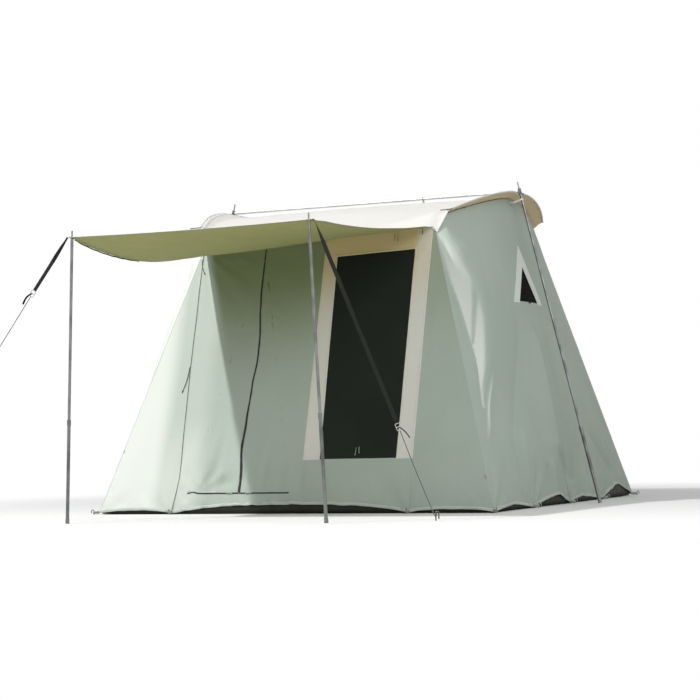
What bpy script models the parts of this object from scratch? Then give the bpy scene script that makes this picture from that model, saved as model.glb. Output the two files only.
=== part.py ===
"""A canvas ridge tent with sprung roof hems and a porch awning on two poles.

Metres, +Z up. The origin is on the ground at the centre of the square floor.
X runs along the ridge, -Y is the front with the door and the window.
"""

from math import copysign, cos, pi, radians, sin, sqrt

import bmesh
import bpy
from mathutils import Matrix, Quaternion, Vector
from mathutils.geometry import delaunay_2d_cdt

# Clearances
SEAM_GAP = 0.0003          # between pieces that touch
TUBE_GAP = 0.0003          # radial, between tubes that slide in each other
MESH_MERGE = 1e-6

# Cloth
CLOTH = 0.003              # stand-in thickness of canvas, mesh and groundsheet walls
FLOOR_HALF = 1.50          # half the side of the square floor
FLOOR_THICK = 0.004
UPSTAND_HEIGHT = 0.12      # waterproof edge of the groundsheet, inside the walls
UPSTAND_CLEAR = 0.008      # between the upstand and the walls

# Eaves and ridge line of the walls
EAVE_HALF = 0.909          # half the width of front and back wall at the top
FRONT_EAVE_Y = -0.944
FRONT_EAVE_Z = 1.90
BACK_EAVE_Y = 1.016
BACK_EAVE_Z = 2.08
WALL_RIDGE_OUT = 0.18      # how much wider the walls stand at the ridge than at the eaves
WALL_RIDGE_Z = 2.21
SIDE_BULGE = 1.7           # power of the side walls' curve in plan
SHOULDER_Y = -0.86         # front corner of the hood
SHOULDER_DROP = 0.18       # from the walls' ridge down to that corner
SHOULDER_POWER = 1.4

# Ridge pole, brackets and bow rods
RIDGE_Z = 2.257
POLE_TOP_HALF = 1.181      # from the middle to each bracket
RIDGE_POLE_R = 0.011
RIDGE_POLE_WALL = 0.0012
RIDGE_JOINT_HALF = 0.39    # half the length of the middle section
SPIGOT_LENGTH = 0.08
SPIGOT_STOP = 0.02         # closed-in length of tube behind a spigot
PLUG_LENGTH = 0.07
SLEEVE_R = 0.012
SLEEVE_LENGTH = 0.044
PIN_SHOULDER = 0.03        # solid end of a tube below its pin
SOCKET_R = 0.007
SOCKET_LENGTH = 0.045
SOCKET_FLOOR = 0.014       # from the upright's axis to the end of a bow rod
BOW_R = 0.004
BOW_TIP = Vector((0.980, -1.02, 2.04))
ROOF_MID_Z = 2.227         # underside of the roof in the middle of the ridge
ROOF_ARCH = 0.03           # how far the roof bows above a straight line to the eaves
RISE_FRONT = 0.03          # of the hood's rim above the walls, at the front corner
RISE_BACK = 0.051
OVER_FRONT = 0.0455        # of the hood's rim outside the walls, at the front corner
OVER_BACK = 0.072
RIM_POWER = 1.7            # of the rim's bend, from the brackets to the corners
HOOD_NOTCH = 0.062         # half the length of the cut-out round the bracket
NOTCH_STEP = 0.003
NOTCH_DEPTH = 0.0155
EAVE_FLANGE = 0.010        # of the roof past the wall at the front eave
ROOF_SHELF = 0.02          # flat strip above the top of a side wall
BACK_TIP_LENGTH = 0.012    # of a back bow rod past the hood

# Uprights
FOOT_BEYOND_STAKES = 0.19  # from the side stakes' line out to each upright's foot
POLE_UPPER_R = 0.0095      # of the upper tube of uprights and awning poles
UPRIGHT_LOWER_R = 0.0125
UPRIGHT_LOWER_LENGTH = 0.56
PIN_R = 0.005
PIN_LENGTH = 0.050         # above the bracket
PIN_PLAY = 0.0008          # of the pin in a grommet or webbing
ENGAGEMENT = 0.13          # length of upper tube held in the lower one
TUBE_WALL = 0.0012
COLLAR_LENGTH = 0.035
COLLAR_EXTRA_R = 0.002
FOOT_CAP = 0.030
FOOT_FLOOR = 0.010         # solid bottom of a lower tube

# Awning and its poles
AWNING_FRONT_Y = -2.80
AWNING_FRONT_HALF = 0.871
AWNING_FRONT_Z = 1.827
AWNING_PATCH_Y = -2.74     # the hem is flat and reinforced from here to the front edge
SAG_LEFT = 0.110
SAG_RIGHT = 0.03
AWNING_POLE_Y = -2.778
AWNING_POLE_HALF = 0.848
AWNING_FOOT_HALF = 0.92
AWNING_LOWER_R = 0.011
AWNING_LOWER_LENGTH = 0.66
AWNING_PIN_LENGTH = 0.045

# Door, bottom zip and window, as X and Z on the front wall
DOOR_TOP = (-0.40, 1.86)
DOOR_LEFT = -0.80
DOOR_RIGHT = 0.0
SILL_Z = 0.135
ZIP_FOOT = -0.39           # where the upright zip meets the bottom zips
FLAP_TOP_Z = 1.78          # above this the flaps are sewn into the wall
FLAP_HEAD_GAP = 0.0015     # room for a flap's head to sweep past the cloth above it
WINDOW_LEFT = 0.06
WINDOW_RIGHT = 0.90
WINDOW_SILL_Z = 0.36
MESH_LEFT = 0.19
MESH_RIGHT = 0.77
MESH_TOP_Z = 1.775

# Vent in each side wall
VENT_SILL_Z = 1.45
VENT_TOP_Z = 1.715
VENT_HALF = 0.18

# Zip sliders
SLIDER_WIDTH = 0.012
SLIDER_LENGTH = 0.016
PULL_WIDTH = 0.006
PULL_LENGTH = 0.034
SLIDER_THICK = 0.0035
SLIDER_WAIST = 0.6         # share of the slider before it narrows
SLIDER_OFFSET = 0.002      # from the zip line to the slider's side
SLIDER_START = 0.05        # from the foot of the zip to the slider's closed place

# Stakes and their loops
STAKE_R = 0.0035
STAKE_HEIGHT = 0.034
HOOK_R = 0.009
HOOK_TIP = 0.010
LOOP_WIDTH = 0.030
LOOP_LENGTH = 0.048
STAKE_OUT = 0.034          # from the floor's edge to a stake
FRONT_STAKES = 0.90
SIDE_STAKES = 0.75

# Guys
STRAP_WIDTH = 0.025
STRAP_THICK = 0.0025
STRAP_OVERHANG = 0.006     # how far the strap clears the awning's edge before it drops
STRAP_TAIL = 0.016         # behind the pin
TWIST_START = 0.03         # below the awning's edge, the strap turns its flat side to the front
TWIST_LENGTH = 0.18
TWIST_STEPS = 9
BUCKLE_WIDTH = 0.034
BUCKLE_LENGTH = 0.046
BUCKLE_THICK = 0.003
BUCKLE_BAR = 0.004
ROPE_R = 0.0025
ROPE_SAG = 0.010
ROPE_POINTS = 24
GUY_STAKE_R = 0.0045
GUY_STAKE_HEIGHT = 0.055
ROPE_TIE_Z = 0.032         # height at which the rope meets its stake
LEFT_GUY_STAKE = Vector((-2.20, -2.95, 0.0))
RIGHT_GUY_STAKE = Vector((1.515, -2.50, 0.0))
LEFT_STRAP = 0.44          # length of webbing from the pin to the buckle
RIGHT_STRAP = 1.36

# Roundness
TUBE_SIDES = 16
BAR_TWIST = radians(7)
SMOOTH_UP_TO = radians(35)
SLOPE_STEP = 0.01
HOLE_SIDES = 8
HOOK_STEPS = 6
HOOD_STEPS = 8
ROOF_COLUMNS = (0.7, 0.35)
AWNING_STEPS = 8
AWNING_COLUMNS = (-0.75, -0.4, 0.0, 0.4, 0.75)
GRID_MARGIN = 0.08

# Colours, as linear red, green and blue
SAGE = (0.30, 0.36, 0.31)
CREAM = (0.55, 0.50, 0.40)
OFF_WHITE = (0.75, 0.73, 0.66)
NEAR_BLACK = (0.012, 0.015, 0.012)
STEEL = (0.26, 0.26, 0.26)
BRIGHT_STEEL = (0.55, 0.55, 0.54)
WEBBING = (0.02, 0.02, 0.02)
CORD_GREY = (0.05, 0.06, 0.05)


def mixed(start, end, share):
    """The value at a share of the way from start to end."""
    return start + (end - start) * share


def finish(thing, colour, roughness, metallic=0.0):
    """Gives the piece its own material."""
    material = bpy.data.materials.new(thing.name)
    material.use_nodes = True
    shader = material.node_tree.nodes["Principled BSDF"]
    shader.inputs["Base Color"].default_value = (*colour, 1.0)
    shader.inputs["Roughness"].default_value = roughness
    shader.inputs["Metallic"].default_value = metallic
    thing.data.materials.append(material)
    return thing


def add_object(name, data):
    """Links a new object that shows the data."""
    thing = bpy.data.objects.new(name, data)
    bpy.context.collection.objects.link(thing)
    return thing


def mesh_object(name, points, faces):
    """A closed mesh with its faces turned outwards."""
    shape = bmesh.new()
    corners = [shape.verts.new(point) for point in points]
    for face in faces:
        shape.faces.new([corners[index] for index in face])
    bmesh.ops.recalc_face_normals(shape, faces=shape.faces)
    mesh = bpy.data.meshes.new(name)
    shape.to_mesh(mesh)
    shape.free()
    return add_object(name, mesh)


def set_origin(thing, origin):
    """Moves the object's origin and leaves its shape where it is."""
    thing.data.transform(Matrix.Translation(-origin))
    thing.location = origin


def attach(child, parent):
    """Parents the child and leaves it where it is."""
    bpy.context.view_layer.update()
    child.parent = parent
    child.matrix_parent_inverse = parent.matrix_world.inverted()


def inside(point, outline):
    """Whether a flat point lies within the outline."""
    crossings = 0
    for (ax, ay), (bx, by) in zip(outline, outline[1:] + outline[:1]):
        if (ay > point[1]) != (by > point[1]):
            crossings += point[0] < ax + (point[1] - ay) * (bx - ax) / (by - ay)
    return crossings % 2 == 1


def inset(outline, amount):
    """The outline with every edge moved inwards by the amount."""
    moved = []
    for before, here, after in zip(outline[-1:] + outline[:-1], outline, outline[1:] + outline[:1]):
        into = (Vector(here) - Vector(before)).normalized()
        away = (Vector(after) - Vector(here)).normalized()
        normals = Vector((-into.y, into.x)) + Vector((-away.y, away.x))
        shift = normals * (2.0 * amount / normals.length_squared)
        moved.append(tuple(Vector(here) + shift))
    return moved


def triangles(outline, holes=(), between=()):
    """Points and triangles that fill the outline, less its holes."""
    loops = [outline, *holes]
    points = [Vector(point) for loop in loops for point in loop]
    edges = []
    start = 0
    for loop in loops:
        count = len(loop)
        edges += [(start + i, start + (i + 1) % count) for i in range(count)]
        start += count
    points += [Vector(point) for point in between if inside(point, outline)]
    flat, _, faces, _, _, _ = delaunay_2d_cdt(points, edges, [], 0, MESH_MERGE)
    kept = []
    for face in faces:
        middle = sum((flat[i] for i in face), Vector((0.0, 0.0))) / len(face)
        if inside(middle, outline) and not any(inside(middle, hole) for hole in holes):
            kept.append(tuple(face))
    return [tuple(point) for point in flat], kept


def thicken(name, points, faces, depths):
    """A thin closed piece: triangles, and for each point the way through to the other face."""
    count = len(points)
    directed = {(face[i], face[(i + 1) % 3]) for face in faces for i in range(3)}
    rim = [(a, b) for a, b in directed if (b, a) not in directed]
    walls = [(b, a, a + count, b + count) for a, b in sorted(rim)]
    backs = [tuple(i + count for i in reversed(face)) for face in faces]
    inner = [point + depth for point, depth in zip(points, depths)]
    return mesh_object(name, [*points, *inner], [*faces, *backs, *walls])


def slab(name, outline, place, depth, holes=(), between=()):
    """A thin closed piece: place puts a flat point in space, depth is the way through it there."""
    flat, faces = triangles(outline, holes, between)
    used = sorted({i for face in faces for i in face})
    number = {old: new for new, old in enumerate(used)}
    faces = [tuple(number[i] for i in face) for face in faces]
    return thicken(name, [place(*flat[i]) for i in used], faces, [depth(*flat[i]) for i in used])


def turned(name, profile, start, end):
    """A round piece from radius and height pairs, set on the line from start towards end."""
    shape = bmesh.new()
    corners = [shape.verts.new((radius, 0.0, height)) for radius, height in profile]
    closed = profile[0][0] > 0.0
    pairs = zip(corners, corners[1:] + corners[:1]) if closed else zip(corners, corners[1:])
    edges = [shape.edges.new(pair) for pair in pairs]
    bmesh.ops.spin(
        shape, geom=corners + edges, cent=(0, 0, 0), axis=(0, 0, 1),
        angle=2 * pi, steps=TUBE_SIDES, use_merge=True,
    )
    bmesh.ops.remove_doubles(shape, verts=shape.verts, dist=MESH_MERGE)
    bmesh.ops.recalc_face_normals(shape, faces=shape.faces)
    mesh = bpy.data.meshes.new(name)
    shape.to_mesh(mesh)
    shape.free()
    mesh.shade_smooth()
    mesh.set_sharp_from_angle(angle=SMOOTH_UP_TO)
    thing = add_object(name, mesh)
    thing.location = start
    thing.rotation_mode = "QUATERNION"
    thing.rotation_quaternion = (end - start).to_track_quat("Z", "Y")
    return thing


def cylinder(name, start, end, radius):
    """A plain round bar between two points, turned a little so that crossing bars share no edge."""
    length = (end - start).length
    bar = turned(name, [(0, 0), (radius, 0), (radius, length), (0, length)], start, end)
    bar.rotation_quaternion @= Quaternion((0, 0, 1), BAR_TWIST)
    return bar


def combine(target, tool, operation):
    """Adds or cuts the tool with a Boolean and hides it."""
    cut = target.modifiers.new(tool.name, "BOOLEAN")
    cut.operation = operation
    cut.solver = "EXACT"
    cut.object = tool
    tool.hide_render = True
    tool.display_type = "WIRE"


def bar_along(name, points, radius):
    """A round bar or rope that follows the points."""
    curve = bpy.data.curves.new(name, "CURVE")
    curve.dimensions = "3D"
    curve.bevel_depth = radius
    curve.bevel_resolution = 2
    curve.use_fill_caps = True
    spline = curve.splines.new("POLY")
    spline.points.add(len(points) - 1)
    for knot, point in zip(spline.points, points):
        knot.co = (*point, 1.0)
    return add_object(name, curve)


def ring(x, y, radius, sides=HOLE_SIDES):
    """A flat round hole or disc, whose flats lie at the radius."""
    reach = radius / cos(pi / sides)
    return [(x + reach * cos(2 * pi * i / sides), y + reach * sin(2 * pi * i / sides)) for i in range(sides)]


# Start from an empty scene

for old in list(bpy.data.objects):
    bpy.data.objects.remove(old)


# Lines that the frame and the cloth follow

SIDES = {"left": -1, "right": 1}
FOOT_HALF = FLOOR_HALF + STAKE_OUT + FOOT_BEYOND_STAKES
LEAN = (FOOT_HALF - POLE_TOP_HALF) / RIDGE_Z
SOCKET_Z = RIDGE_Z - RIDGE_POLE_R - CLOTH / 2 - SEAM_GAP
SOCKET_X = FOOT_HALF - LEAN * SOCKET_Z
RIM_RIDGE_OUT = SOCKET_X - BOW_R - SEAM_GAP
RIM_RIDGE_Z = SOCKET_Z - CLOTH / 2
WALL_FOOT_Z = FLOOR_THICK + SEAM_GAP / 2


def eave(y):
    """Place and height of the front or back eave, whichever side of the ridge y lies on."""
    return (FRONT_EAVE_Y, FRONT_EAVE_Z) if y < 0 else (BACK_EAVE_Y, BACK_EAVE_Z)


def wall_top(y):
    """Half width and height of the walls' top line at y."""
    edge, edge_z = eave(y)
    share = min(y / edge, 1.0)
    out = EAVE_HALF + WALL_RIDGE_OUT * (1.0 - share ** SIDE_BULGE)
    if y >= 0:
        height = mixed(WALL_RIDGE_Z, edge_z, share ** 2)
    elif y >= SHOULDER_Y:
        height = WALL_RIDGE_Z - SHOULDER_DROP * (y / SHOULDER_Y) ** SHOULDER_POWER
    else:
        height = mixed(WALL_RIDGE_Z - SHOULDER_DROP, edge_z, (SHOULDER_Y - y) / (SHOULDER_Y - edge))
    return out, height


def hood_rim(y):
    """Half width and height of the underside of the hood's edge at y."""
    out, height = wall_top(y)
    if y < SHOULDER_Y:
        fade = (y - FRONT_EAVE_Y) / (SHOULDER_Y - FRONT_EAVE_Y)
        return out + mixed(EAVE_FLANGE, OVER_FRONT, fade), height + RISE_FRONT * fade
    end, over, rise = (SHOULDER_Y, OVER_FRONT, RISE_FRONT) if y < 0 else (BACK_EAVE_Y, OVER_BACK, RISE_BACK)
    end_out, end_z = wall_top(end)
    straight = HOOD_NOTCH + NOTCH_STEP
    bend = (max(abs(y) - straight, 0.0) / (abs(end) - straight)) ** RIM_POWER
    return mixed(RIM_RIDGE_OUT, end_out + over, bend), mixed(RIM_RIDGE_Z, end_z + rise, bend)


def hood_stations(end, last):
    """Values of y from the notch at the bracket to the end, then on to the last ones."""
    start = copysign(HOOD_NOTCH + NOTCH_STEP, end)
    run = [mixed(start, end, i / HOOD_STEPS) for i in range(HOOD_STEPS + 1)]
    return [copysign(HOOD_NOTCH, end), *run, *last]


FRONT_STATIONS = hood_stations(SHOULDER_Y, [(SHOULDER_Y + FRONT_EAVE_Y) / 2, FRONT_EAVE_Y])
BACK_STATIONS = hood_stations(BACK_EAVE_Y, [])


def across_front(x, height):
    """A point on the outer face of the front wall."""
    return Vector((x, mixed(-FLOOR_HALF, FRONT_EAVE_Y, height / FRONT_EAVE_Z), height))


def across_back(x, height):
    """A point on the outer face of the back wall."""
    return Vector((x, mixed(FLOOR_HALF, BACK_EAVE_Y, height / BACK_EAVE_Z), height))


def along_side(side, base_y, height):
    """A point on the outer face of a side wall, on the line that starts at base_y on the ground."""
    corner = copysign(FLOOR_HALF, base_y)
    edge, _ = eave(base_y)
    along = base_y / corner
    out, top = wall_top(along * edge)
    corner_y = mixed(corner, edge, height / top) - copysign(CLOTH + SEAM_GAP, corner)
    return Vector((side * mixed(FLOOR_HALF, out, height / top), along * corner_y, height))


def x_at(foot, head, height):
    """Where the straight line between two points of a wall, as X and Z, passes a height."""
    return mixed(foot[0], head[0], (height - foot[1]) / (head[1] - foot[1]))


# Groundsheet: a tray with a turned-up edge and a webbing loop for each stake

floor_edge = []
stakes = {}
for name, normal, places in (
    ("front", Vector((0, -1)), (-FRONT_STAKES, FRONT_STAKES)),
    ("right", Vector((1, 0)), (-SIDE_STAKES, 0.0, SIDE_STAKES)),
    ("back", Vector((0, 1)), (-FRONT_STAKES, FRONT_STAKES)),
    ("left", Vector((-1, 0)), (-SIDE_STAKES, 0.0, SIDE_STAKES)),
):
    along = Vector((-normal.y, normal.x))
    for number, place in enumerate(places, start=1):
        middle = normal * FLOOR_HALF + along * place
        half = along * (LOOP_WIDTH / 2)
        out = normal * LOOP_LENGTH
        floor_edge += [middle - half, middle - half + out, middle + half + out, middle + half]
        stakes[f"stake_{name}_{number}"] = (middle + normal * STAKE_OUT, normal)
    corner = (normal + along) * FLOOR_HALF
    slant = (normal + along).normalized()
    near = corner - along * (LOOP_WIDTH / sqrt(2))
    far = corner - normal * (LOOP_WIDTH / sqrt(2))
    out = slant * (LOOP_WIDTH / 2 + LOOP_LENGTH)
    floor_edge += [near, near + out, far + out, far]
    stakes[f"stake_{name}_corner"] = (corner + slant * STAKE_OUT, slant)

groundsheet = slab(
    "groundsheet",
    [tuple(point) for point in floor_edge],
    lambda x, y: Vector((x, y, 0.0)),
    lambda x, y: Vector((0.0, 0.0, FLOOR_THICK)),
    holes=[ring(place.x, place.y, STAKE_R + SEAM_GAP) for place, _ in stakes.values()],
)
finish(groundsheet, NEAR_BLACK, 0.6)

upstand_points = []
upstand_depths = []
for height in (FLOOR_THICK / 2, UPSTAND_HEIGHT):
    front_y = across_front(0, height).y + CLOTH + UPSTAND_CLEAR
    back_y = across_back(0, height).y - CLOTH - UPSTAND_CLEAR
    for side in (1, -1):
        for step in (-2, -1, 0, 1, 2):
            edge = along_side(side, side * step * FLOOR_HALF / 2, height)
            y = min(max(edge.y, front_y), back_y)
            upstand_points.append(Vector((edge.x - side * (CLOTH + UPSTAND_CLEAR), y, height)))
            turn = -copysign(CLOTH, y) if abs(step) == 2 else 0.0
            upstand_depths.append(Vector((-side * CLOTH, turn, 0.0)))
count = len(upstand_points) // 2
upstand_faces = []
for i in range(count):
    j = (i + 1) % count
    upstand_faces += [(i, j, j + count), (i, j + count, i + count)]
upstand = thicken("groundsheet_upstand", upstand_points, upstand_faces, upstand_depths)
combine(groundsheet, upstand, "UNION")


# Stakes: hooked rods, modelled from the ground up

def stake_route(place, outwards, height, hook_r):
    """Up from the ground, over, and down again on the outer side."""
    foot = Vector((place[0], place[1], 0.0))
    away = Vector((outwards[0], outwards[1], 0.0))
    crown = height - hook_r
    route = [foot]
    for step in range(HOOK_STEPS + 1):
        turn = pi * step / HOOK_STEPS
        route.append(foot + away * (hook_r * (1 - cos(turn))) + Vector((0, 0, crown + hook_r * sin(turn))))
    route.append(foot + away * (2 * hook_r) + Vector((0, 0, HOOK_TIP)))
    return route


for name, (place, outwards) in stakes.items():
    finish(bar_along(name, stake_route(place, outwards, STAKE_HEIGHT, HOOK_R), STAKE_R), STEEL, 0.35, 1.0)


# Front wall: canvas panels, sewn edge to edge

FLAP_HINGE_LEFT = ((DOOR_LEFT, SILL_Z), DOOR_TOP)
FLAP_HINGE_RIGHT = ((DOOR_RIGHT, SILL_Z), DOOR_TOP)
ZIP_LINE = ((ZIP_FOOT, SILL_Z), DOOR_TOP)
FLAP_HEAD_Z = FLAP_TOP_Z - FLAP_HEAD_GAP
FRONT_CORNER = ((FLOOR_HALF, 0.0), (EAVE_HALF, FRONT_EAVE_Z))


def front_panel(name, outline, colour, roughness):
    """A panel of the front wall, from X and Z."""
    panel = slab(
        name,
        inset(outline, SEAM_GAP / 2),
        across_front,
        lambda x, z: Vector((0.0, CLOTH, 0.0)),
    )
    return finish(panel, colour, roughness)


base = WALL_FOOT_Z
front_panel("front_wall_left", [
    (-x_at(*FRONT_CORNER, base), base),
    (x_at(*FLAP_HINGE_LEFT, base), base),
    DOOR_TOP,
    (DOOR_TOP[0], FRONT_EAVE_Z),
    (-EAVE_HALF, FRONT_EAVE_Z),
], SAGE, 0.9)
front_panel("front_wall_centre", [
    (x_at(*FLAP_HINGE_RIGHT, base), base),
    (WINDOW_RIGHT, base),
    (WINDOW_RIGHT, WINDOW_SILL_Z),
    (WINDOW_LEFT, WINDOW_SILL_Z),
    (WINDOW_LEFT, FRONT_EAVE_Z),
    (DOOR_TOP[0], FRONT_EAVE_Z),
    DOOR_TOP,
    (x_at(*FLAP_HINGE_LEFT, FLAP_TOP_Z), FLAP_TOP_Z),
    (x_at(*FLAP_HINGE_RIGHT, FLAP_TOP_Z), FLAP_TOP_Z),
], SAGE, 0.9)
front_panel("front_wall_right", [
    (WINDOW_RIGHT, base),
    (x_at(*FRONT_CORNER, base), base),
    (EAVE_HALF, FRONT_EAVE_Z),
    (WINDOW_RIGHT, FRONT_EAVE_Z),
], SAGE, 0.9)
front_panel("door_sill", [
    (x_at(*FLAP_HINGE_LEFT, base), base),
    (x_at(*FLAP_HINGE_RIGHT, base), base),
    FLAP_HINGE_RIGHT[0],
    FLAP_HINGE_LEFT[0],
], SAGE, 0.9)
front_panel("window_frame", [
    (WINDOW_LEFT, WINDOW_SILL_Z),
    (MESH_LEFT, WINDOW_SILL_Z),
    (MESH_LEFT, MESH_TOP_Z),
    (MESH_RIGHT, MESH_TOP_Z),
    (MESH_RIGHT, WINDOW_SILL_Z),
    (WINDOW_RIGHT, WINDOW_SILL_Z),
    (WINDOW_RIGHT, FRONT_EAVE_Z),
    (WINDOW_LEFT, FRONT_EAVE_Z),
], CREAM, 0.9)
front_panel("window_mesh", [
    (MESH_LEFT, WINDOW_SILL_Z),
    (MESH_RIGHT, WINDOW_SILL_Z),
    (MESH_RIGHT, MESH_TOP_Z),
    (MESH_LEFT, MESH_TOP_Z),
], NEAR_BLACK, 0.8)


# Door: two flaps that fold outwards about the slanting seams

door_flaps = {}
for side, hinge in (("left", FLAP_HINGE_LEFT), ("right", FLAP_HINGE_RIGHT)):
    corners = [
        hinge[0],
        (ZIP_FOOT, SILL_Z),
        (x_at(*ZIP_LINE, FLAP_HEAD_Z), FLAP_HEAD_Z),
        (x_at(*hinge, FLAP_HEAD_Z), FLAP_HEAD_Z),
    ]
    if side == "right":
        corners.reverse()
    flap = front_panel(f"door_flap_{side}", corners, SAGE, 0.9)
    set_origin(flap, across_front(*hinge[0]))
    door_flaps[side] = flap


# Zip sliders: each lies on its flap's outer face and runs along the flap's edge

def zip_slider(name, foot, ahead, across, flap):
    """A slider with its pull towards ahead, beside the zip line on the side of across."""
    ahead = Vector(ahead).normalized()
    across = Vector(across).normalized()
    low = SLIDER_OFFSET
    high = SLIDER_OFFSET + SLIDER_WIDTH
    pull_low = (low + high - PULL_WIDTH) / 2
    pull_high = (low + high + PULL_WIDTH) / 2
    waist = SLIDER_LENGTH * SLIDER_WAIST
    shape = [
        (0.0, low), (waist, low), (SLIDER_LENGTH, pull_low), (SLIDER_LENGTH + PULL_LENGTH, pull_low),
        (SLIDER_LENGTH + PULL_LENGTH, pull_high), (SLIDER_LENGTH, pull_high), (waist, high), (0.0, high),
    ]
    outline = [tuple(Vector(foot) + ahead * a + across * c) for a, c in shape]
    slider = slab(
        name,
        outline,
        lambda x, z: across_front(x, z) - Vector((0.0, SEAM_GAP, 0.0)),
        lambda x, z: Vector((0.0, -SLIDER_THICK, 0.0)),
    )
    set_origin(slider, across_front(*foot))
    attach(slider, flap)
    return finish(slider, BRIGHT_STEEL, 0.3, 1.0)


zip_rise = (Vector(ZIP_LINE[1]) - Vector(ZIP_LINE[0])).normalized()
zip_slider(
    "door_zip_slider",
    Vector(ZIP_LINE[0]) + zip_rise * (SLIDER_START + SLIDER_LENGTH + PULL_LENGTH),
    -zip_rise,
    (-zip_rise.y, zip_rise.x),
    door_flaps["left"],
)
for side, way in SIDES.items():
    zip_slider(
        f"bottom_zip_slider_{side}",
        (ZIP_FOOT + way * SLIDER_START, SILL_Z),
        (way, 0),
        (0, 1),
        door_flaps[side],
    )


# Side walls: two halves each, with a vent of mesh across the seam between them

VENT_BASE = VENT_HALF * FLOOR_HALF / mixed(FLOOR_HALF, -FRONT_EAVE_Y, VENT_SILL_Z / WALL_RIDGE_Z)
SIDE_COLUMNS = [FLOOR_HALF * column / 4 for column in range(5)]
SIDE_ROWS = [UPSTAND_HEIGHT] + [WALL_RIDGE_Z * row / 6 for row in range(1, 6)]
SIDE_GRID = [(column, row) for column in SIDE_COLUMNS for row in SIDE_ROWS]


def side_panel(name, side, outline, way, between, colour):
    """A panel of a side wall, from base Y and height, in front of the seam or behind it."""
    return finish(slab(
        name,
        inset(outline, SEAM_GAP / 2),
        lambda base_y, z: along_side(side, way * base_y, z),
        lambda base_y, z: Vector((-side * CLOTH, 0.0, 0.0)),
        between=between,
    ), colour, 0.9)


for side_name, side in SIDES.items():
    for end_name, way, stations in (("front", -1, FRONT_STATIONS), ("back", 1, BACK_STATIONS)):
        edge, _ = eave(stations[0])
        top = [(FLOOR_HALF * y / edge, wall_top(y)[1]) for y in reversed(stations)]
        outline = [
            (0.0, VENT_SILL_Z),
            *[(column, WALL_FOOT_Z) for column in SIDE_COLUMNS],
            *top,
            (0.0, WALL_RIDGE_Z),
            (0.0, VENT_TOP_Z),
            (VENT_BASE, VENT_SILL_Z),
        ]
        between = [point for point in SIDE_GRID if inside(point, inset(outline, GRID_MARGIN))]
        side_panel(f"side_wall_{side_name}_{end_name}", side, outline, way, between, SAGE)
    vent = [(-VENT_BASE, VENT_SILL_Z), (0.0, VENT_SILL_Z), (VENT_BASE, VENT_SILL_Z), (0.0, VENT_TOP_Z)]
    side_panel(f"side_vent_mesh_{side_name}", side, vent, 1, [], NEAR_BLACK)


# Back wall: one plain panel

BACK_CORNER = ((FLOOR_HALF, 0.0), (EAVE_HALF, BACK_EAVE_Z))
back_outline = [
    (-x_at(*BACK_CORNER, base), base),
    (x_at(*BACK_CORNER, base), base),
    (EAVE_HALF, BACK_EAVE_Z),
    (-EAVE_HALF, BACK_EAVE_Z),
]
back_wall = slab(
    "back_wall",
    inset(back_outline, SEAM_GAP / 2),
    across_back,
    lambda x, z: Vector((0.0, -CLOTH, 0.0)),
)
finish(back_wall, SAGE, 0.9)


# Roof: bowed between the eaves, with hoods that reach out over the side walls

def roof_row(y):
    """The underside of the roof across the tent at y, from one hood's edge to the other."""
    edge, edge_z = eave(y)
    share = y / edge
    middle_z = mixed(ROOF_MID_Z, edge_z, share) + ROOF_ARCH * sin(pi * share)
    out, top = wall_top(y)
    rim_out, rim_z = hood_rim(y)
    if abs(y) <= HOOD_NOTCH:
        cut = NOTCH_DEPTH / (rim_out - out)
        rim_out = mixed(rim_out, out, cut)
        rim_z = mixed(rim_z, top, cut)
    shelf = out - ROOF_SHELF
    half = [(rim_out, rim_z), (out, top), (shelf, top)]
    half += [(shelf * part, mixed(middle_z, top, part ** 2)) for part in ROOF_COLUMNS]
    right = [Vector((x, y, z)) for x, z in half]
    return [Vector((-x, y, z)) for x, _, z in right] + [Vector((0.0, y, middle_z))] + right[::-1]


rows = [roof_row(y) for y in (*reversed(FRONT_STATIONS), 0.0, *BACK_STATIONS)]
width = len(rows[0])
roof_faces = []
for row in range(len(rows) - 1):
    for column in range(width - 1):
        a = row * width + column
        b = a + 1
        roof_faces += [(a, b, b + width), (a, b + width, a + width)]
roof_points = [point for row in rows for point in row]
roof = thicken("roof", roof_points, roof_faces, [Vector((0.0, 0.0, CLOTH))] * len(roof_points))
finish(roof, OFF_WHITE, 0.85)


# Awning: from the front eave to the two awning poles

AWNING_BACK_Y = FRONT_EAVE_Y - SEAM_GAP


def awning_under(x, y):
    """A point on the underside of the awning."""
    share = min(max((AWNING_BACK_Y - y) / (AWNING_BACK_Y - AWNING_PATCH_Y), 0.0), 1.0)
    sag = mixed(SAG_LEFT, SAG_RIGHT, (x + AWNING_FRONT_HALF) / (2 * AWNING_FRONT_HALF))
    drop = 4 * sag * share * (1 - share)
    return Vector((x, y, mixed(FRONT_EAVE_Z, AWNING_FRONT_Z, share) - drop))


hem = []
for step in range(AWNING_STEPS + 1):
    share = step / AWNING_STEPS
    hem.append((mixed(AWNING_FRONT_HALF, EAVE_HALF, share), mixed(AWNING_PATCH_Y, AWNING_BACK_Y, share)))
awning = slab(
    "awning",
    [
        (-AWNING_FRONT_HALF, AWNING_FRONT_Y),
        (AWNING_FRONT_HALF, AWNING_FRONT_Y),
        *hem,
        *[(-x, y) for x, y in reversed(hem)],
    ],
    awning_under,
    lambda x, y: Vector((0.0, 0.0, CLOTH)),
    holes=[ring(side * AWNING_POLE_HALF, AWNING_POLE_Y, PIN_R + PIN_PLAY) for side in SIDES.values()],
    between=[(x * part, y) for part in AWNING_COLUMNS for x, y in hem[:-1]],
)
finish(awning, OFF_WHITE, 0.85)


# Telescopic poles: an upper tube with a pin at its top, and a lower tube with a foot

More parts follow.
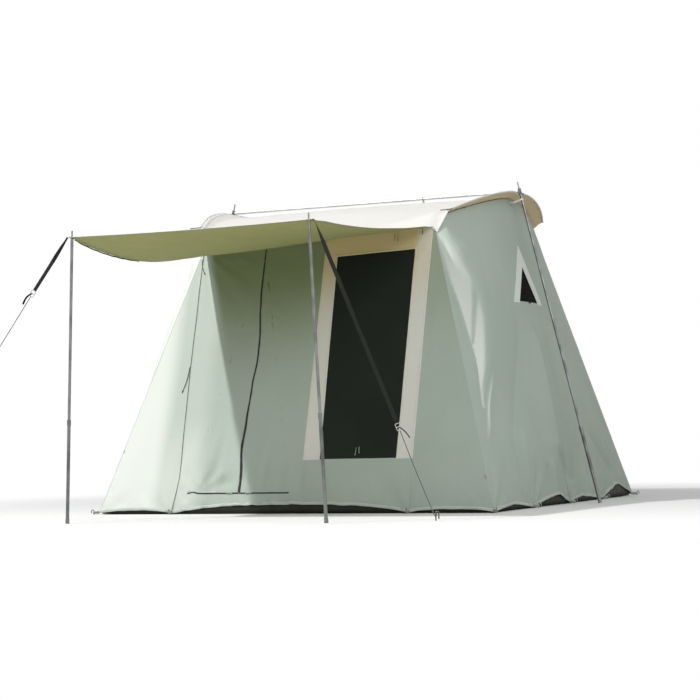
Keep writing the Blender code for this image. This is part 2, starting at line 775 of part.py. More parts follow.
def telescopic_pole(upper_name, lower_name, foot, shoulder, lower_r, lower_length, pin_length):
    """Two tubes on the line from the foot on the ground to the shoulder below the pin."""
    axis = (shoulder - foot).normalized()
    cap_r = lower_r + COLLAR_EXTRA_R
    start = foot + axis * (cap_r * sqrt(1 - axis.z ** 2) / axis.z)
    bore = POLE_UPPER_R + TUBE_GAP
    collar = lower_length - COLLAR_LENGTH
    lower = turned(lower_name, [
        (0, 0), (cap_r, 0), (cap_r, FOOT_CAP), (lower_r, FOOT_CAP), (lower_r, collar),
        (cap_r, collar), (cap_r, lower_length), (bore, lower_length), (bore, FOOT_FLOOR), (0, FOOT_FLOOR),
    ], start, shoulder)
    bottom = start + axis * (lower_length - ENGAGEMENT)
    length = (shoulder - bottom).length
    inner = POLE_UPPER_R - TUBE_WALL
    upper = turned(upper_name, [
        (0, length + pin_length), (PIN_R, length + pin_length), (PIN_R, length), (POLE_UPPER_R, length),
        (POLE_UPPER_R, 0), (inner, 0), (inner, length - PIN_SHOULDER), (0, length - PIN_SHOULDER),
    ], bottom, shoulder)
    attach(lower, upper)
    finish(lower, STEEL, 0.4, 1.0)
    return finish(upper, STEEL, 0.35, 1.0)


for side_name, side in SIDES.items():
    foot = Vector((side * AWNING_FOOT_HALF, AWNING_POLE_Y, 0.0))
    under = awning_under(side * AWNING_POLE_HALF, AWNING_POLE_Y)
    splay = (AWNING_FOOT_HALF - AWNING_POLE_HALF) / AWNING_FRONT_Z
    seat = under - Vector((0.0, 0.0, SEAM_GAP + POLE_UPPER_R * splay))
    telescopic_pole(
        f"awning_pole_upper_{side_name}", f"awning_pole_lower_{side_name}",
        foot, seat, AWNING_LOWER_R, AWNING_LOWER_LENGTH, AWNING_PIN_LENGTH,
    )


# Uprights and ridge brackets: a sleeve on the upright, a plug for the ridge pole, two rod sockets

for side_name, side in SIDES.items():
    foot = Vector((side * FOOT_HALF, 0.0, 0.0))
    centre = Vector((side * POLE_TOP_HALF, 0.0, RIDGE_Z))
    axis = (centre - foot).normalized()
    half = axis * (SLEEVE_LENGTH / 2)
    telescopic_pole(
        f"upright_upper_{side_name}", f"upright_lower_{side_name}",
        foot, centre - half - axis * SEAM_GAP, UPRIGHT_LOWER_R, UPRIGHT_LOWER_LENGTH,
        SLEEVE_LENGTH + SEAM_GAP + PIN_LENGTH,
    )
    bracket = cylinder(f"ridge_bracket_{side_name}", centre - half, centre + half, SLEEVE_R)
    plug_end = centre - Vector((side * (SLEEVE_R + PLUG_LENGTH), 0.0, 0.0))
    plug_r = RIDGE_POLE_R - RIDGE_POLE_WALL - TUBE_GAP
    combine(bracket, cylinder(f"plug_{side_name}", centre, plug_end, plug_r), "UNION")
    socket = Vector((side * SOCKET_X, 0.0, SOCKET_Z))
    reach = Vector((0.0, SLEEVE_R + SOCKET_LENGTH, 0.0))
    sockets = cylinder(f"sockets_{side_name}", socket - reach, socket + reach, SOCKET_R)
    combine(bracket, sockets, "UNION")
    bore = cylinder(f"bore_{side_name}", centre - half * 2, centre + half * 2, PIN_R + TUBE_GAP)
    combine(bracket, bore, "DIFFERENCE")
    for end in (-1, 1):
        floor = socket + Vector((0.0, end * SOCKET_FLOOR, 0.0))
        rod_bore = cylinder(f"rod_bore_{side_name}_{end}", floor, socket + reach * (2 * end), BOW_R + TUBE_GAP)
        combine(bracket, rod_bore, "DIFFERENCE")
    finish(bracket, STEEL, 0.4, 1.0)


# Bow rods: spring steel along the hoods' edges, from the brackets past the front corners

def bow_seat(y):
    """Half width and height at which a bow rod lies against the hood's edge."""
    out, height = hood_rim(y)
    towards_ridge = y * (1.0 - SLOPE_STEP)
    slant = (hood_rim(towards_ridge)[0] - out) / (towards_ridge - y)
    return out + (BOW_R + SEAM_GAP) * sqrt(1 + slant ** 2), height + CLOTH / 2


def bow_route(side, stations, tip):
    """From a bracket's socket along the hood's edge to the tip."""
    way = copysign(1, stations[0])
    route = [
        Vector((side * SOCKET_X, way * (SOCKET_FLOOR + SEAM_GAP), SOCKET_Z)),
        Vector((side * SOCKET_X, way * (SLEEVE_R + SOCKET_LENGTH), SOCKET_Z)),
    ]
    for y in stations:
        out, height = bow_seat(y)
        route.append(Vector((side * out, y, height)))
    return route + [Vector((side * tip.x, tip.y, tip.z))]


back_out, back_z = bow_seat(BACK_EAVE_Y)
back_tip = Vector((back_out, BACK_EAVE_Y + BACK_TIP_LENGTH, back_z))
for side_name, side in SIDES.items():
    front_rod = bar_along(f"bow_rod_front_{side_name}", bow_route(side, FRONT_STATIONS[1:-2], BOW_TIP), BOW_R)
    finish(front_rod, STEEL, 0.35, 1.0)
    back_rod = bar_along(f"bow_rod_back_{side_name}", bow_route(side, BACK_STATIONS[1:], back_tip), BOW_R)
    finish(back_rod, STEEL, 0.35, 1.0)


# Ridge pole: three tubes, the outer two with a spigot that enters the middle one

RIDGE_BORE = RIDGE_POLE_R - RIDGE_POLE_WALL
SPIGOT_R = RIDGE_BORE - TUBE_GAP
SPIGOT_BORE = SPIGOT_R - RIDGE_POLE_WALL
joint = Vector((RIDGE_JOINT_HALF, 0.0, RIDGE_Z))
pole_end = POLE_TOP_HALF - SLEEVE_R * sqrt(1 + LEAN ** 2) - RIDGE_POLE_R * LEAN - SEAM_GAP
length = pole_end - RIDGE_JOINT_HALF
for side_name, side in SIDES.items():
    section = turned(f"ridge_pole_{side_name}", [
        (RIDGE_POLE_R, 0), (RIDGE_POLE_R, length), (SPIGOT_R, length), (SPIGOT_R, length + SPIGOT_LENGTH),
        (SPIGOT_BORE, length + SPIGOT_LENGTH), (SPIGOT_BORE, length - SPIGOT_STOP),
        (RIDGE_BORE, length - SPIGOT_STOP), (RIDGE_BORE, 0),
    ], Vector((side * pole_end, 0.0, RIDGE_Z)), Vector((0.0, 0.0, RIDGE_Z)))
    finish(section, STEEL, 0.35, 1.0)
middle = RIDGE_JOINT_HALF * 2 - SEAM_GAP * 2
middle_start = Vector((-middle / 2, 0.0, RIDGE_Z))
middle_pole = turned("ridge_pole_middle", [
    (RIDGE_POLE_R, 0), (RIDGE_POLE_R, middle), (RIDGE_BORE, middle), (RIDGE_BORE, 0),
], middle_start, Vector((0.0, 0.0, RIDGE_Z)))
finish(middle_pole, STEEL, 0.35, 1.0)


# Guys: webbing from each awning pole's pin to a buckle, then rope to a stake

def guy(side_name, side, stake, strap_length):
    """Strap, buckle, rope and stake on the line from an awning pole's top to the ground."""
    pin = Vector((side * AWNING_POLE_HALF, AWNING_POLE_Y, AWNING_FRONT_Z + CLOTH + SEAM_GAP))
    flat = Vector((stake.x - pin.x, stake.y - pin.y, 0.0)).normalized()
    across = Vector((-flat.y, flat.x, 0.0))
    edge = (AWNING_FRONT_HALF - AWNING_POLE_HALF + STRAP_OVERHANG) / abs(flat.x)
    bend = pin + flat * edge
    slope = (stake + Vector((0.0, 0.0, ROPE_TIE_Z)) - bend).normalized()
    tie = stake + Vector((0.0, 0.0, ROPE_TIE_Z)) - flat * (GUY_STAKE_R + ROPE_R * abs(slope.z) + SEAM_GAP * 2)
    down = (tie - bend).normalized()
    upward = across.cross(down)
    upward = upward if upward.z > 0 else -upward
    crease = (upward + Vector((0.0, 0.0, 1.0))).normalized()

    def turn(along):
        return Quaternion(down, pi / 2 * min(max((along - edge - TWIST_START) / TWIST_LENGTH, 0.0), 1.0))

    def place(along, aside):
        run = flat * along if along <= edge else flat * edge + down * (along - edge)
        return pin + run + turn(along) @ across * aside

    def through(along, aside):
        if abs(along - edge) < MESH_MERGE:
            return crease * (STRAP_THICK / crease.z)
        return (turn(along) @ upward if along > edge else Vector((0.0, 0.0, 1.0))) * STRAP_THICK

    half = STRAP_WIDTH / 2
    stations = [edge + TWIST_START + TWIST_LENGTH * step / TWIST_STEPS for step in range(TWIST_STEPS + 1)]
    stations = [-STRAP_TAIL, edge, *stations, strap_length]
    strap_outline = [(along, -half) for along in stations] + [(along, half) for along in reversed(stations)]
    outwards = turn(strap_length) @ upward
    strap = slab(
        f"guy_strap_{side_name}", strap_outline, place, through,
        holes=[ring(0.0, 0.0, PIN_R + PIN_PLAY)],
    )
    finish(strap, WEBBING, 0.8)

    start = strap_length + SEAM_GAP
    wide = BUCKLE_WIDTH / 2
    long = BUCKLE_LENGTH
    slot = (long - 3 * BUCKLE_BAR) / 2
    buckle_outline = [
        (start, -wide + BUCKLE_BAR), (start + BUCKLE_BAR, -wide), (start + long - BUCKLE_BAR, -wide),
        (start + long, -wide + BUCKLE_BAR), (start + long, wide - BUCKLE_BAR),
        (start + long - BUCKLE_BAR, wide), (start + BUCKLE_BAR, wide), (start, wide - BUCKLE_BAR),
    ]
    slots = []
    for low in (start + BUCKLE_BAR, start + 2 * BUCKLE_BAR + slot):
        slots.append([
            (low, -wide + BUCKLE_BAR), (low + slot, -wide + BUCKLE_BAR),
            (low + slot, wide - BUCKLE_BAR), (low, wide - BUCKLE_BAR),
        ])
    buckle = slab(
        f"guy_buckle_{side_name}", buckle_outline, place,
        lambda along, aside: outwards * BUCKLE_THICK, holes=slots,
    )
    finish(buckle, BRIGHT_STEEL, 0.3, 1.0)

    first = place(start + long + SEAM_GAP * 2, 0.0) + outwards * (BUCKLE_THICK / 2)
    route = []
    for step in range(ROPE_POINTS + 1):
        share = step / ROPE_POINTS
        route.append(mixed(first, tie, share) - Vector((0.0, 0.0, 4 * ROPE_SAG * share * (1 - share))))
    finish(bar_along(f"guy_rope_{side_name}", route, ROPE_R), CORD_GREY, 0.85)

    peg = bar_along(f"guy_stake_{side_name}", stake_route(stake, flat, GUY_STAKE_HEIGHT, HOOK_R), GUY_STAKE_R)
    finish(peg, STEEL, 0.35, 1.0)


guy("left", -1, LEFT_GUY_STAKE, LEFT_STRAP)
guy("right", 1, RIGHT_GUY_STAKE, RIGHT_STRAP)
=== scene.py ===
from math import atan2, ceil, copysign, cos, exp, hypot, pi, sin, sqrt

import bpy
import numpy as np
from mathutils import Matrix, Vector, geometry, kdtree, noise


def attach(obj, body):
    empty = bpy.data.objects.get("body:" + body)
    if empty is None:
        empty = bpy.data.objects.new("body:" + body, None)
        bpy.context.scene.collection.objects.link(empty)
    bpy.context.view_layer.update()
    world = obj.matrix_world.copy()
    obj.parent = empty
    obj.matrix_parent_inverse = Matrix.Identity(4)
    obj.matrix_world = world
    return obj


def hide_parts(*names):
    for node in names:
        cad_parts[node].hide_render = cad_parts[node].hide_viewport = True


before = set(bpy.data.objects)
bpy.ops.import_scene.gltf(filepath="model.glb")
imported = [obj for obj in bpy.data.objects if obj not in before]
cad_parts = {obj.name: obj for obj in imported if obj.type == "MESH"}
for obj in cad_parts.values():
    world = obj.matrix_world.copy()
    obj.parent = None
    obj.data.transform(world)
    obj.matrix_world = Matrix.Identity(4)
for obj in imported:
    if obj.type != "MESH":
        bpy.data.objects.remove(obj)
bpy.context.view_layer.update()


# Camera
# The photograph was taken from low down in front of the right-hand corner with a long lens.
# Its place, turn, rise and tilt are fitted to the floor's corners, the eaves and the poles.

FOCAL_PIXELS = 1985.9
IMAGE_PIXELS = 700
STAND = (6.161, -13.494, 0.533)
TURN, RISE, TILT = 0.441, 0.042, -0.023

ahead = Vector((-sin(TURN) * cos(RISE), cos(TURN) * cos(RISE), sin(RISE)))
level = Vector((cos(TURN), sin(TURN), 0.0))
above = level.cross(ahead)
across = level * cos(TILT) + above * sin(TILT)
upward = above * cos(TILT) - level * sin(TILT)
lens = bpy.data.cameras.new("camera")
lens.sensor_width = 36.0
lens.lens = FOCAL_PIXELS * lens.sensor_width / IMAGE_PIXELS
lens.clip_end = 200.0
camera = bpy.data.objects.new("camera", lens)
bpy.context.collection.objects.link(camera)
aim = Matrix((across, upward, -ahead)).transposed()
camera.matrix_world = Matrix.Translation(STAND) @ aim.to_4x4()
bpy.context.scene.camera = camera


# Groundsheet
# The floor is a tray of black coated cloth, turned up all round inside the walls.
# Folded webbing loops are sewn to its edge and take the pegs.

FLOOR_HALF = 1.5
TRAY_EDGE = 0.12
TRAY_CLEAR = 0.011
FRONT_EAVE_Y, FRONT_EAVE_Z = -0.944, 1.90
BACK_EAVE_Y, BACK_EAVE_Z = 1.016, 2.08
EAVE_HALF = 0.909
RIDGE_OUT, RIDGE_WALL_Z = 0.18, 2.21
SHOULDER_Y, SHOULDER_DROP = -0.86, 0.18
PEG_PLACES = (-1.5, -0.75, 0.0, 0.75, 1.5)
FRONT_PEGS = (-1.5, -0.9, 0.9, 1.5)
PEG_OUT = 0.034
LOOP_TURN_R, LOOP_WIDTH, LOOP_THICK, LOOP_Z = 0.0055, 0.020, 0.0018, 0.015


def mixed(a, b, share):
    """The value that lies a share of the way from a to b."""
    return a + (b - a) * share


def eased(value):
    """From 0 to 1 without a kink at either end."""
    share = min(max(value, 0.0), 1.0)
    return share * share * (3.0 - 2.0 * share)


def slack(x, y, size, depth, seed):
    """Soft waves in loose cloth, about as wide as size."""
    return depth * noise.noise(Vector((x / size, y / size, seed)))


def linear(red, green, blue):
    """A colour as a screen shows it, from 0 to 255, as the linear values that shaders use."""
    shares = [value / 255.0 for value in (red, green, blue)]
    return (*[s / 12.92 if s <= 0.04045 else ((s + 0.055) / 1.055) ** 2.4 for s in shares], 1.0)


def fed(tree, made, inputs):
    """Feeds a node's sockets with values or with other nodes' outputs."""
    for key, value in inputs.items():
        if isinstance(value, bpy.types.NodeSocket):
            tree.links.new(value, made.inputs[key])
        else:
            made.inputs[key].default_value = value
    return made


def node(tree, kind, inputs=None, **settings):
    """Adds a shader node with its settings and inputs."""
    made = tree.nodes.new(kind)
    for key, value in settings.items():
        setattr(made, key, value)
    return fed(tree, made, inputs or {})


def sums(tree, operation, first, *others):
    """One maths operation on a value, or a chain of it over several values."""
    if not others:
        return node(tree, "ShaderNodeMath", {0: first}, operation=operation).outputs[0]
    for other in others:
        first = node(tree, "ShaderNodeMath", {0: first, 1: other}, operation=operation).outputs[0]
    return first


def clouds(tree, place, scale, detail, distortion=0.0):
    """The value of a noise texture."""
    inputs = {"Vector": place, "Scale": scale, "Detail": detail, "Distortion": distortion}
    return node(tree, "ShaderNodeTexNoise", inputs).outputs[0]


def apart(tree, place):
    """The three coordinates of a place."""
    return node(tree, "ShaderNodeSeparateXYZ", {0: place}).outputs


def blended(tree, share, first, second):
    """Two colours mixed by a share."""
    mix = node(tree, "ShaderNodeMix", {0: share, 6: first, 7: second}, data_type="RGBA")
    return mix.outputs[2]


def stepped(tree, value, low, high, to_low=0.0, to_high=1.0):
    """A value spread smoothly from one range to another."""
    spread = node(
        tree, "ShaderNodeMapRange",
        {"Value": value, "From Min": low, "From Max": high, "To Min": to_low, "To Max": to_high},
        interpolation_type="SMOOTHSTEP",
    )
    return spread.outputs[0]


def effect(name, takes, gives):
    """An empty shader group with named inputs and outputs."""
    tree = bpy.data.node_groups.new(name, "ShaderNodeTree")
    for label, kind in takes.items():
        tree.interface.new_socket(label, in_out="INPUT", socket_type=kind)
    for label, kind in gives.items():
        tree.interface.new_socket(label, in_out="OUTPUT", socket_type=kind)
    return tree, tree.nodes.new("NodeGroupInput").outputs, tree.nodes.new("NodeGroupOutput").inputs


def use(tree, name, inputs):
    """Places a shader group in a material."""
    return node(tree, "ShaderNodeGroup", inputs, node_tree=bpy.data.node_groups[name]).outputs


def blank(name):
    """A new material, its nodes and its shader."""
    made = bpy.data.materials.new(name)
    made.use_nodes = True
    return made, made.node_tree, made.node_tree.nodes["Principled BSDF"]


tree, given, out = effect(
    "plain weave",
    {"Place": "NodeSocketVector", "Threads": "NodeSocketFloat"},
    {"Height": "NodeSocketFloat", "Shade": "NodeSocketFloat"},
)
parts = apart(tree, given["Place"])
turns = sums(tree, "MULTIPLY", given["Threads"], 2.0 * pi)
warp = sums(tree, "SINE", sums(tree, "MULTIPLY", parts[0], turns))
weft = sums(tree, "SINE", sums(tree, "MULTIPLY", parts[1], turns))
knots = sums(tree, "MULTIPLY", warp, weft)
slubs = clouds(tree, given["Place"], 160.0, 3.0)
tree.links.new(stepped(tree, sums(tree, "ADD", knots, slubs), -1.0, 2.0), out["Height"])
tree.links.new(stepped(tree, slubs, 0.35, 0.7), out["Shade"])

tree, given, out = effect(
    "weathering",
    {"Place": "NodeSocketVector", "Size": "NodeSocketFloat"},
    {"Patches": "NodeSocketFloat", "Creases": "NodeSocketFloat"},
)
often = sums(tree, "DIVIDE", 1.0, given["Size"])
patches = clouds(tree, given["Place"], often, 5.0)
tree.links.new(stepped(tree, patches, 0.36, 0.66), out["Patches"])
fine = clouds(tree, given["Place"], sums(tree, "MULTIPLY", often, 7.0), 6.0, distortion=0.6)
crease = sums(tree, "ABSOLUTE", sums(tree, "SUBTRACT", fine, 0.5))
tree.links.new(stepped(tree, crease, 0.0, 0.16), out["Creases"])

tree, given, out = effect(
    "ground splash",
    {"Place": "NodeSocketVector", "Reach": "NodeSocketFloat"},
    {"Mask": "NodeSocketFloat"},
)
height = apart(tree, given["Place"])[2]
specks = clouds(tree, given["Place"], 14.0, 6.0)
low = sums(tree, "SUBTRACT", 1.0, sums(tree, "DIVIDE", height, given["Reach"]))
tree.links.new(stepped(tree, sums(tree, "MULTIPLY", low, specks), 0.12, 0.75), out["Mask"])

tree, given, out = effect(
    "stitch rows",
    {"Place": "NodeSocketVector", "Row": "NodeSocketFloat"},
    {"Mask": "NodeSocketFloat"},
)
parts = apart(tree, given["Place"])
off_row = sums(tree, "ABSOLUTE", sums(tree, "SUBTRACT", sums(tree, "ABSOLUTE", parts[1]), given["Row"]))
dash = sums(tree, "FRACT", sums(tree, "DIVIDE", parts[0], 0.006))
on_row = stepped(tree, off_row, 0.0004, 0.0009, 1.0, 0.0)
tree.links.new(sums(tree, "MULTIPLY", on_row, stepped(tree, dash, 0.66, 0.72, 1.0, 0.0)), out["Mask"])


def canvas(
    name, colour, shade, roughness=0.88, threads=700.0, splash=0.0,
    row=None, thread=None, grip=0.35, masks=None,
):
    """Woven cloth: faded patches, thread by thread shading, small creases and a dirty hem.

    Masks names colours that stand for shares written on the cloth; row and thread give stitching.
    """
    made, tree, shader = blank(name)
    place = node(tree, "ShaderNodeTexCoord").outputs
    weave = use(tree, "plain weave", {"Place": place["UV"], "Threads": threads})
    worn = use(tree, "weathering", {"Place": place["Object"], "Size": 0.7})
    faded = blended(tree, sums(tree, "MULTIPLY", worn["Patches"], 0.55), colour, shade)
    dark = tuple(value * 0.72 for value in shade[:3]) + (1.0,)
    surface = blended(tree, sums(tree, "MULTIPLY", weave["Shade"], 0.22), faded, dark)
    # Each mask blends in a colour by a share written on the mesh; the walls use these for painted sunlight
    # and painted shade.
    for mask, masked in (masks or {}).items():
        share = node(tree, "ShaderNodeAttribute", attribute_name=mask).outputs["Fac"]
        surface = blended(tree, share, surface, masked)
    if splash:
        dirt = use(tree, "ground splash", {"Place": place["Object"], "Reach": 0.32})
        surface = blended(tree, sums(tree, "MULTIPLY", dirt["Mask"], splash), surface, linear(112, 108, 92))
    if row is not None:
        sewn = use(tree, "stitch rows", {"Place": place["UV"], "Row": row})
        surface = blended(tree, sewn["Mask"], surface, thread)
    rough = stepped(tree, worn["Creases"], 0.0, 1.0, roughness - 0.07, roughness)
    raised = sums(tree, "ADD", sums(tree, "MULTIPLY", weave["Height"], 0.12), worn["Creases"])
    bump = node(tree, "ShaderNodeBump", {"Strength": grip, "Distance": 0.0012, "Height": raised})
    fed(tree, shader, {
        "Base Color": surface, "Roughness": rough, "Normal": bump.outputs[0], "Specular IOR Level": 0.25,
    })
    return made


def within(points, outline):
    """Which of the flat points lie inside the outline."""
    x, y = np.array(points).T
    result = np.zeros(len(x), bool)
    for (ax, ay), (bx, by) in zip(outline, outline[1:] + outline[:1]):
        if ay != by:
            result ^= ((ay > y) != (by > y)) & (x < ax + (y - ay) * (bx - ax) / (by - ay))
    return result


def spaced(outline, step):
    """The closed outline with points added along its edges."""
    points = []
    for (ax, ay), (bx, by) in zip(outline, outline[1:] + outline[:1]):
        count = max(1, ceil(hypot(bx - ax, by - ay) / step))
        points += [(mixed(ax, bx, i / count), mixed(ay, by, i / count)) for i in range(count)]
    return points


def surface_object(name, points, faces, flat, finishes, thickness=0.0):
    """A mesh whose UV map is its flat size in metres, with an outer and an inner finish."""
    mesh = bpy.data.meshes.new(name)
    mesh.from_pydata([tuple(point) for point in points], [], faces)
    spread = mesh.uv_layers.new(name="cloth")
    spread.data.foreach_set("uv", [value for face in faces for i in face for value in flat[i]])
    mesh.shade_smooth()
    for finish in finishes:
        mesh.materials.append(finish)
    made = bpy.data.objects.new(name, mesh)
    bpy.context.collection.objects.link(made)
    if thickness:
        rims = np.zeros(len(mesh.edges), int)
        sides = np.empty(len(mesh.loops), int)
        mesh.loops.foreach_get("edge_index", sides)
        np.add.at(rims, sides, 1)
        mesh.edges.foreach_set("use_edge_sharp", rims == 1)
        layer = made.modifiers.new("cloth thickness", "SOLIDIFY")
        layer.thickness = thickness
        layer.offset = -1.0
        layer.material_offset = len(finishes) - 1
    return made


def marked(made, places, masks):
    """Writes each mask's share at every point, for the finishes that read it."""
    for mask, share in (masks or {}).items():
        written = made.data.attributes.new(mask, "FLOAT", "POINT")
        written.data.foreach_set("value", [share(*place) for place in places])
    return made


def cut_cloth(name, outline, place, step, finishes, holes=(), thickness=0.0015, flip=False, masks=None):
    """A sheet cut to a flat outline; place puts each flat point of its outer face in space."""
    loops = [spaced(loop, step) for loop in (outline, *holes)]
    rim = [point for loop in loops for point in loop]
    edges = []
    start = 0
    for loop in loops:
        edges += [(start + i, start + (i + 1) % len(loop)) for i in range(len(loop))]
        start += len(loop)
    near = kdtree.KDTree(len(rim))
    for number, point in enumerate(rim):
        near.insert((*point, 0.0), number)
    near.balance()
    low, high = np.min(rim, axis=0), np.max(rim, axis=0)
    rows = int((high[1] - low[1]) / (step * 0.866)) + 1
    columns = int((high[0] - low[0]) / step) + 2
    filling = [
        (low[0] + (column - 0.5 * (row % 2)) * step, low[1] + row * step * 0.866)
        for row in range(rows) for column in range(columns)
    ]

    def kept(points):
        """Which of the points lie in the cloth, outside its holes."""
        inner = within(points, loops[0])
        for hole in loops[1:]:
            inner &= ~within(points, hole)
        return inner

    filling = [p for p, inner in zip(filling, kept(filling)) if inner]
    filling = [p for p in filling if near.find((*p, 0.0))[2] > step * 0.5]
    points = [Vector(point) for point in rim + filling]
    flat, _, faces, *_ = geometry.delaunay_2d_cdt(points, edges, [], 0, 1e-7)
    middles = [tuple((flat[a] + flat[b] + flat[c]) / 3) for a, b, c in faces]
    faces = [tuple(face) for face, inner in zip(faces, kept(middles)) if inner]
    if flip:
        faces = [tuple(reversed(face)) for face in faces]
    made = surface_object(name, [place(*point) for point in flat], faces, flat, finishes, thickness)
    return marked(made, flat, masks)


def band(name, path, aside, width, thick, finish):
    """Flat webbing along a path, with its width along the aside direction."""
    points, faces, flat = [], [], []
    count = len(path)
    shape = [
        (-0.5, 0.0), (-0.47, 0.5), (0.0, 0.55), (0.47, 0.5),
        (0.5, 0.0), (0.47, -0.5), (0.0, -0.55), (-0.47, -0.5),
    ]
    run = 0.0
    for number, point in enumerate(path):
        before = path[max(number - 1, 0)]
        after = path[min(number + 1, count - 1)]
        side = (aside[number] if isinstance(aside, list) else aside).normalized()
        normal = (after - before).normalized().cross(side).normalized()
        for across, through in shape:
            points.append(point + side * (across * width) + normal * (through * thick))
            flat.append((run, across * width))
        run += (after - point).length
    size = len(shape)
    for number in range(count - 1):
        for k in range(size):
            here, there = number * size, (number + 1) * size
            faces.append((here + k, there + k, there + (k + 1) % size, here + (k + 1) % size))
    faces += [tuple(range(size)), tuple(reversed(range((count - 1) * size, count * size)))]
    return surface_object(name, points, faces, flat, [finish])


def merged(name, pieces):
    """Several small pieces of one kind as one object."""
    if len(pieces) > 1:
        with bpy.context.temp_override(active_object=pieces[0], selected_editable_objects=pieces):
            bpy.ops.object.join()
    pieces[0].name = name
    return pieces[0]


def eave(y):
    """Depth and height of the front or the back eave, whichever is on y's side."""
    return (FRONT_EAVE_Y, FRONT_EAVE_Z) if y < 0 else (BACK_EAVE_Y, BACK_EAVE_Z)


def wall_top(y):
    """Half width and height of the walls' top line at y."""
    edge, edge_z = eave(y)
    share = min(y / edge, 1.0)
    out = EAVE_HALF + RIDGE_OUT * (1.0 - share ** 1.7)
    if y >= 0:
        top = mixed(RIDGE_WALL_Z, edge_z, share ** 2)
    elif y >= SHOULDER_Y:
        top = RIDGE_WALL_Z - SHOULDER_DROP * (y / SHOULDER_Y) ** 1.4
    else:
        top = mixed(RIDGE_WALL_Z - SHOULDER_DROP, edge_z, (SHOULDER_Y - y) / (SHOULDER_Y - edge))
    return out, top


def across_front(x, z):
    """A point on the front wall's flat plane."""
    return Vector((x, mixed(-FLOOR_HALF, FRONT_EAVE_Y, z / FRONT_EAVE_Z), z))


def across_back(x, z):
    """A point on the back wall's flat plane."""
    return Vector((x, mixed(FLOOR_HALF, BACK_EAVE_Y, z / BACK_EAVE_Z), z))


def along_side(side, base_y, z):
    """A point on a side wall, on the line that starts at base_y on the ground."""
    corner = copysign(FLOOR_HALF, base_y)
    edge, _ = eave(base_y)
    along = base_y / corner
    out, top = wall_top(along * edge)
    corner_y = mixed(corner, edge, z / top)
    return Vector((side * mixed(FLOOR_HALF, out, z / top), along * corner_y, z))


def tray(s, t):
    """The groundsheet: its edge beyond the floor's outline stands up inside the walls."""
    reach = max(abs(s), abs(t))
    if reach <= FLOOR_HALF:
        ripple = slack(s, t, 0.3, 0.002, 5.0) * eased((FLOOR_HALF - reach) / 0.2)
        return Vector((s * 0.992, t * 0.992, 0.004 + abs(ripple)))
    z = reach - FLOOR_HALF + 0.003
    x = s * FLOOR_HALF / reach
    y = t * FLOOR_HALF / reach
    wide = along_side(1, y if abs(y) > 1e-6 else 1e-6, z).x - TRAY_CLEAR
    front = across_front(0, z).y + TRAY_CLEAR
    back = across_back(0, z).y - TRAY_CLEAR
    wave = 0.003 * noise.noise(Vector((x * 5.0, y * 5.0, z * 4.0))) * eased(z / TRAY_EDGE)
    deep = mixed(front, back, (y + FLOOR_HALF) / (2 * FLOOR_HALF))
    return Vector((x / FLOOR_HALF * (wide + wave), deep + wave, z))


coated_black = canvas(
    "coated black cloth", linear(27, 31, 26), linear(18, 21, 18), roughness=0.66, threads=1100.0, splash=0.10,
)
tray_half = FLOOR_HALF + TRAY_EDGE
tray_cut = [(x * tray_half, y * tray_half) for x, y in ((-1, -1), (1, -1), (1, 1), (-1, 1))]
groundsheet = cut_cloth("groundsheet_tray", tray_cut, tray, 0.05, [coated_black], thickness=0.001)
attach(groundsheet, "tent")
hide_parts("groundsheet")

pale_webbing = canvas(
    "pale webbing", linear(186, 188, 176), linear(160, 162, 150), threads=520.0, splash=0.4,
    row=0.008, thread=linear(222, 222, 212), grip=0.6,
)


def peg_stations():
    """Each peg's place on the ground and the way out from the floor."""
    found = []
    for way, places in (
        ((0, -1), FRONT_PEGS[1:3]), ((1, 0), PEG_PLACES[1:4]),
        ((0, 1), FRONT_PEGS[1:3]), ((-1, 0), PEG_PLACES[1:4]),
    ):
        out = Vector((*way, 0.0))
        along = Vector((-out.y, out.x, 0.0))
        found += [(out * FLOOR_HALF + along * place, out) for place in places]
        found.append(((out + along) * FLOOR_HALF, (out + along).normalized()))
    return found


peg_loops = []
for edge, out in peg_stations():
    along = Vector((-out.y, out.x, 0.0))
    centre = edge + out * PEG_OUT
    path = []
    for step in range(9):
        angle = pi * (step / 8 - 0.5)
        path.append(centre + out * (LOOP_TURN_R * cos(angle)) + along * (LOOP_TURN_R * sin(angle)))
    inner = edge - out * 0.004
    neck = mixed(inner, centre, 0.4)
    path = [inner - along * 0.002, neck - along * 0.005, *path, neck + along * 0.005, inner + along * 0.002]
    path = [point + Vector((0.0, 0.0, LOOP_Z)) for point in path]
    peg_loops.append(band("peg_loop", path, Vector((0, 0, 1)), LOOP_WIDTH, LOOP_THICK, pale_webbing))
peg_loops = merged("peg_loops", peg_loops)
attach(peg_loops, "tent")


# Pegs
# Bent steel rods, galvanised, driven through the loops down to their hooks.
# The light ones hold the walls down, the heavier ones hold the guys.

tree, given, out = effect(
    "metal wear",
    {"Place": "NodeSocketVector", "Size": "NodeSocketFloat"},
    {"Smudges": "NodeSocketFloat", "Scratches": "NodeSocketFloat"},
)
often = sums(tree, "DIVIDE", 1.0, given["Size"])
smudges = clouds(tree, given["Place"], often, 4.0)
tree.links.new(stepped(tree, smudges, 0.38, 0.68), out["Smudges"])
drawn = node(tree, "ShaderNodeMapping", {"Vector": given["Place"], "Scale": (1.0, 1.0, 0.06)}).outputs[0]
scratches = clouds(tree, drawn, sums(tree, "MULTIPLY", often, 30.0), 3.0)
tree.links.new(stepped(tree, scratches, 0.45, 0.75), out["Scratches"])


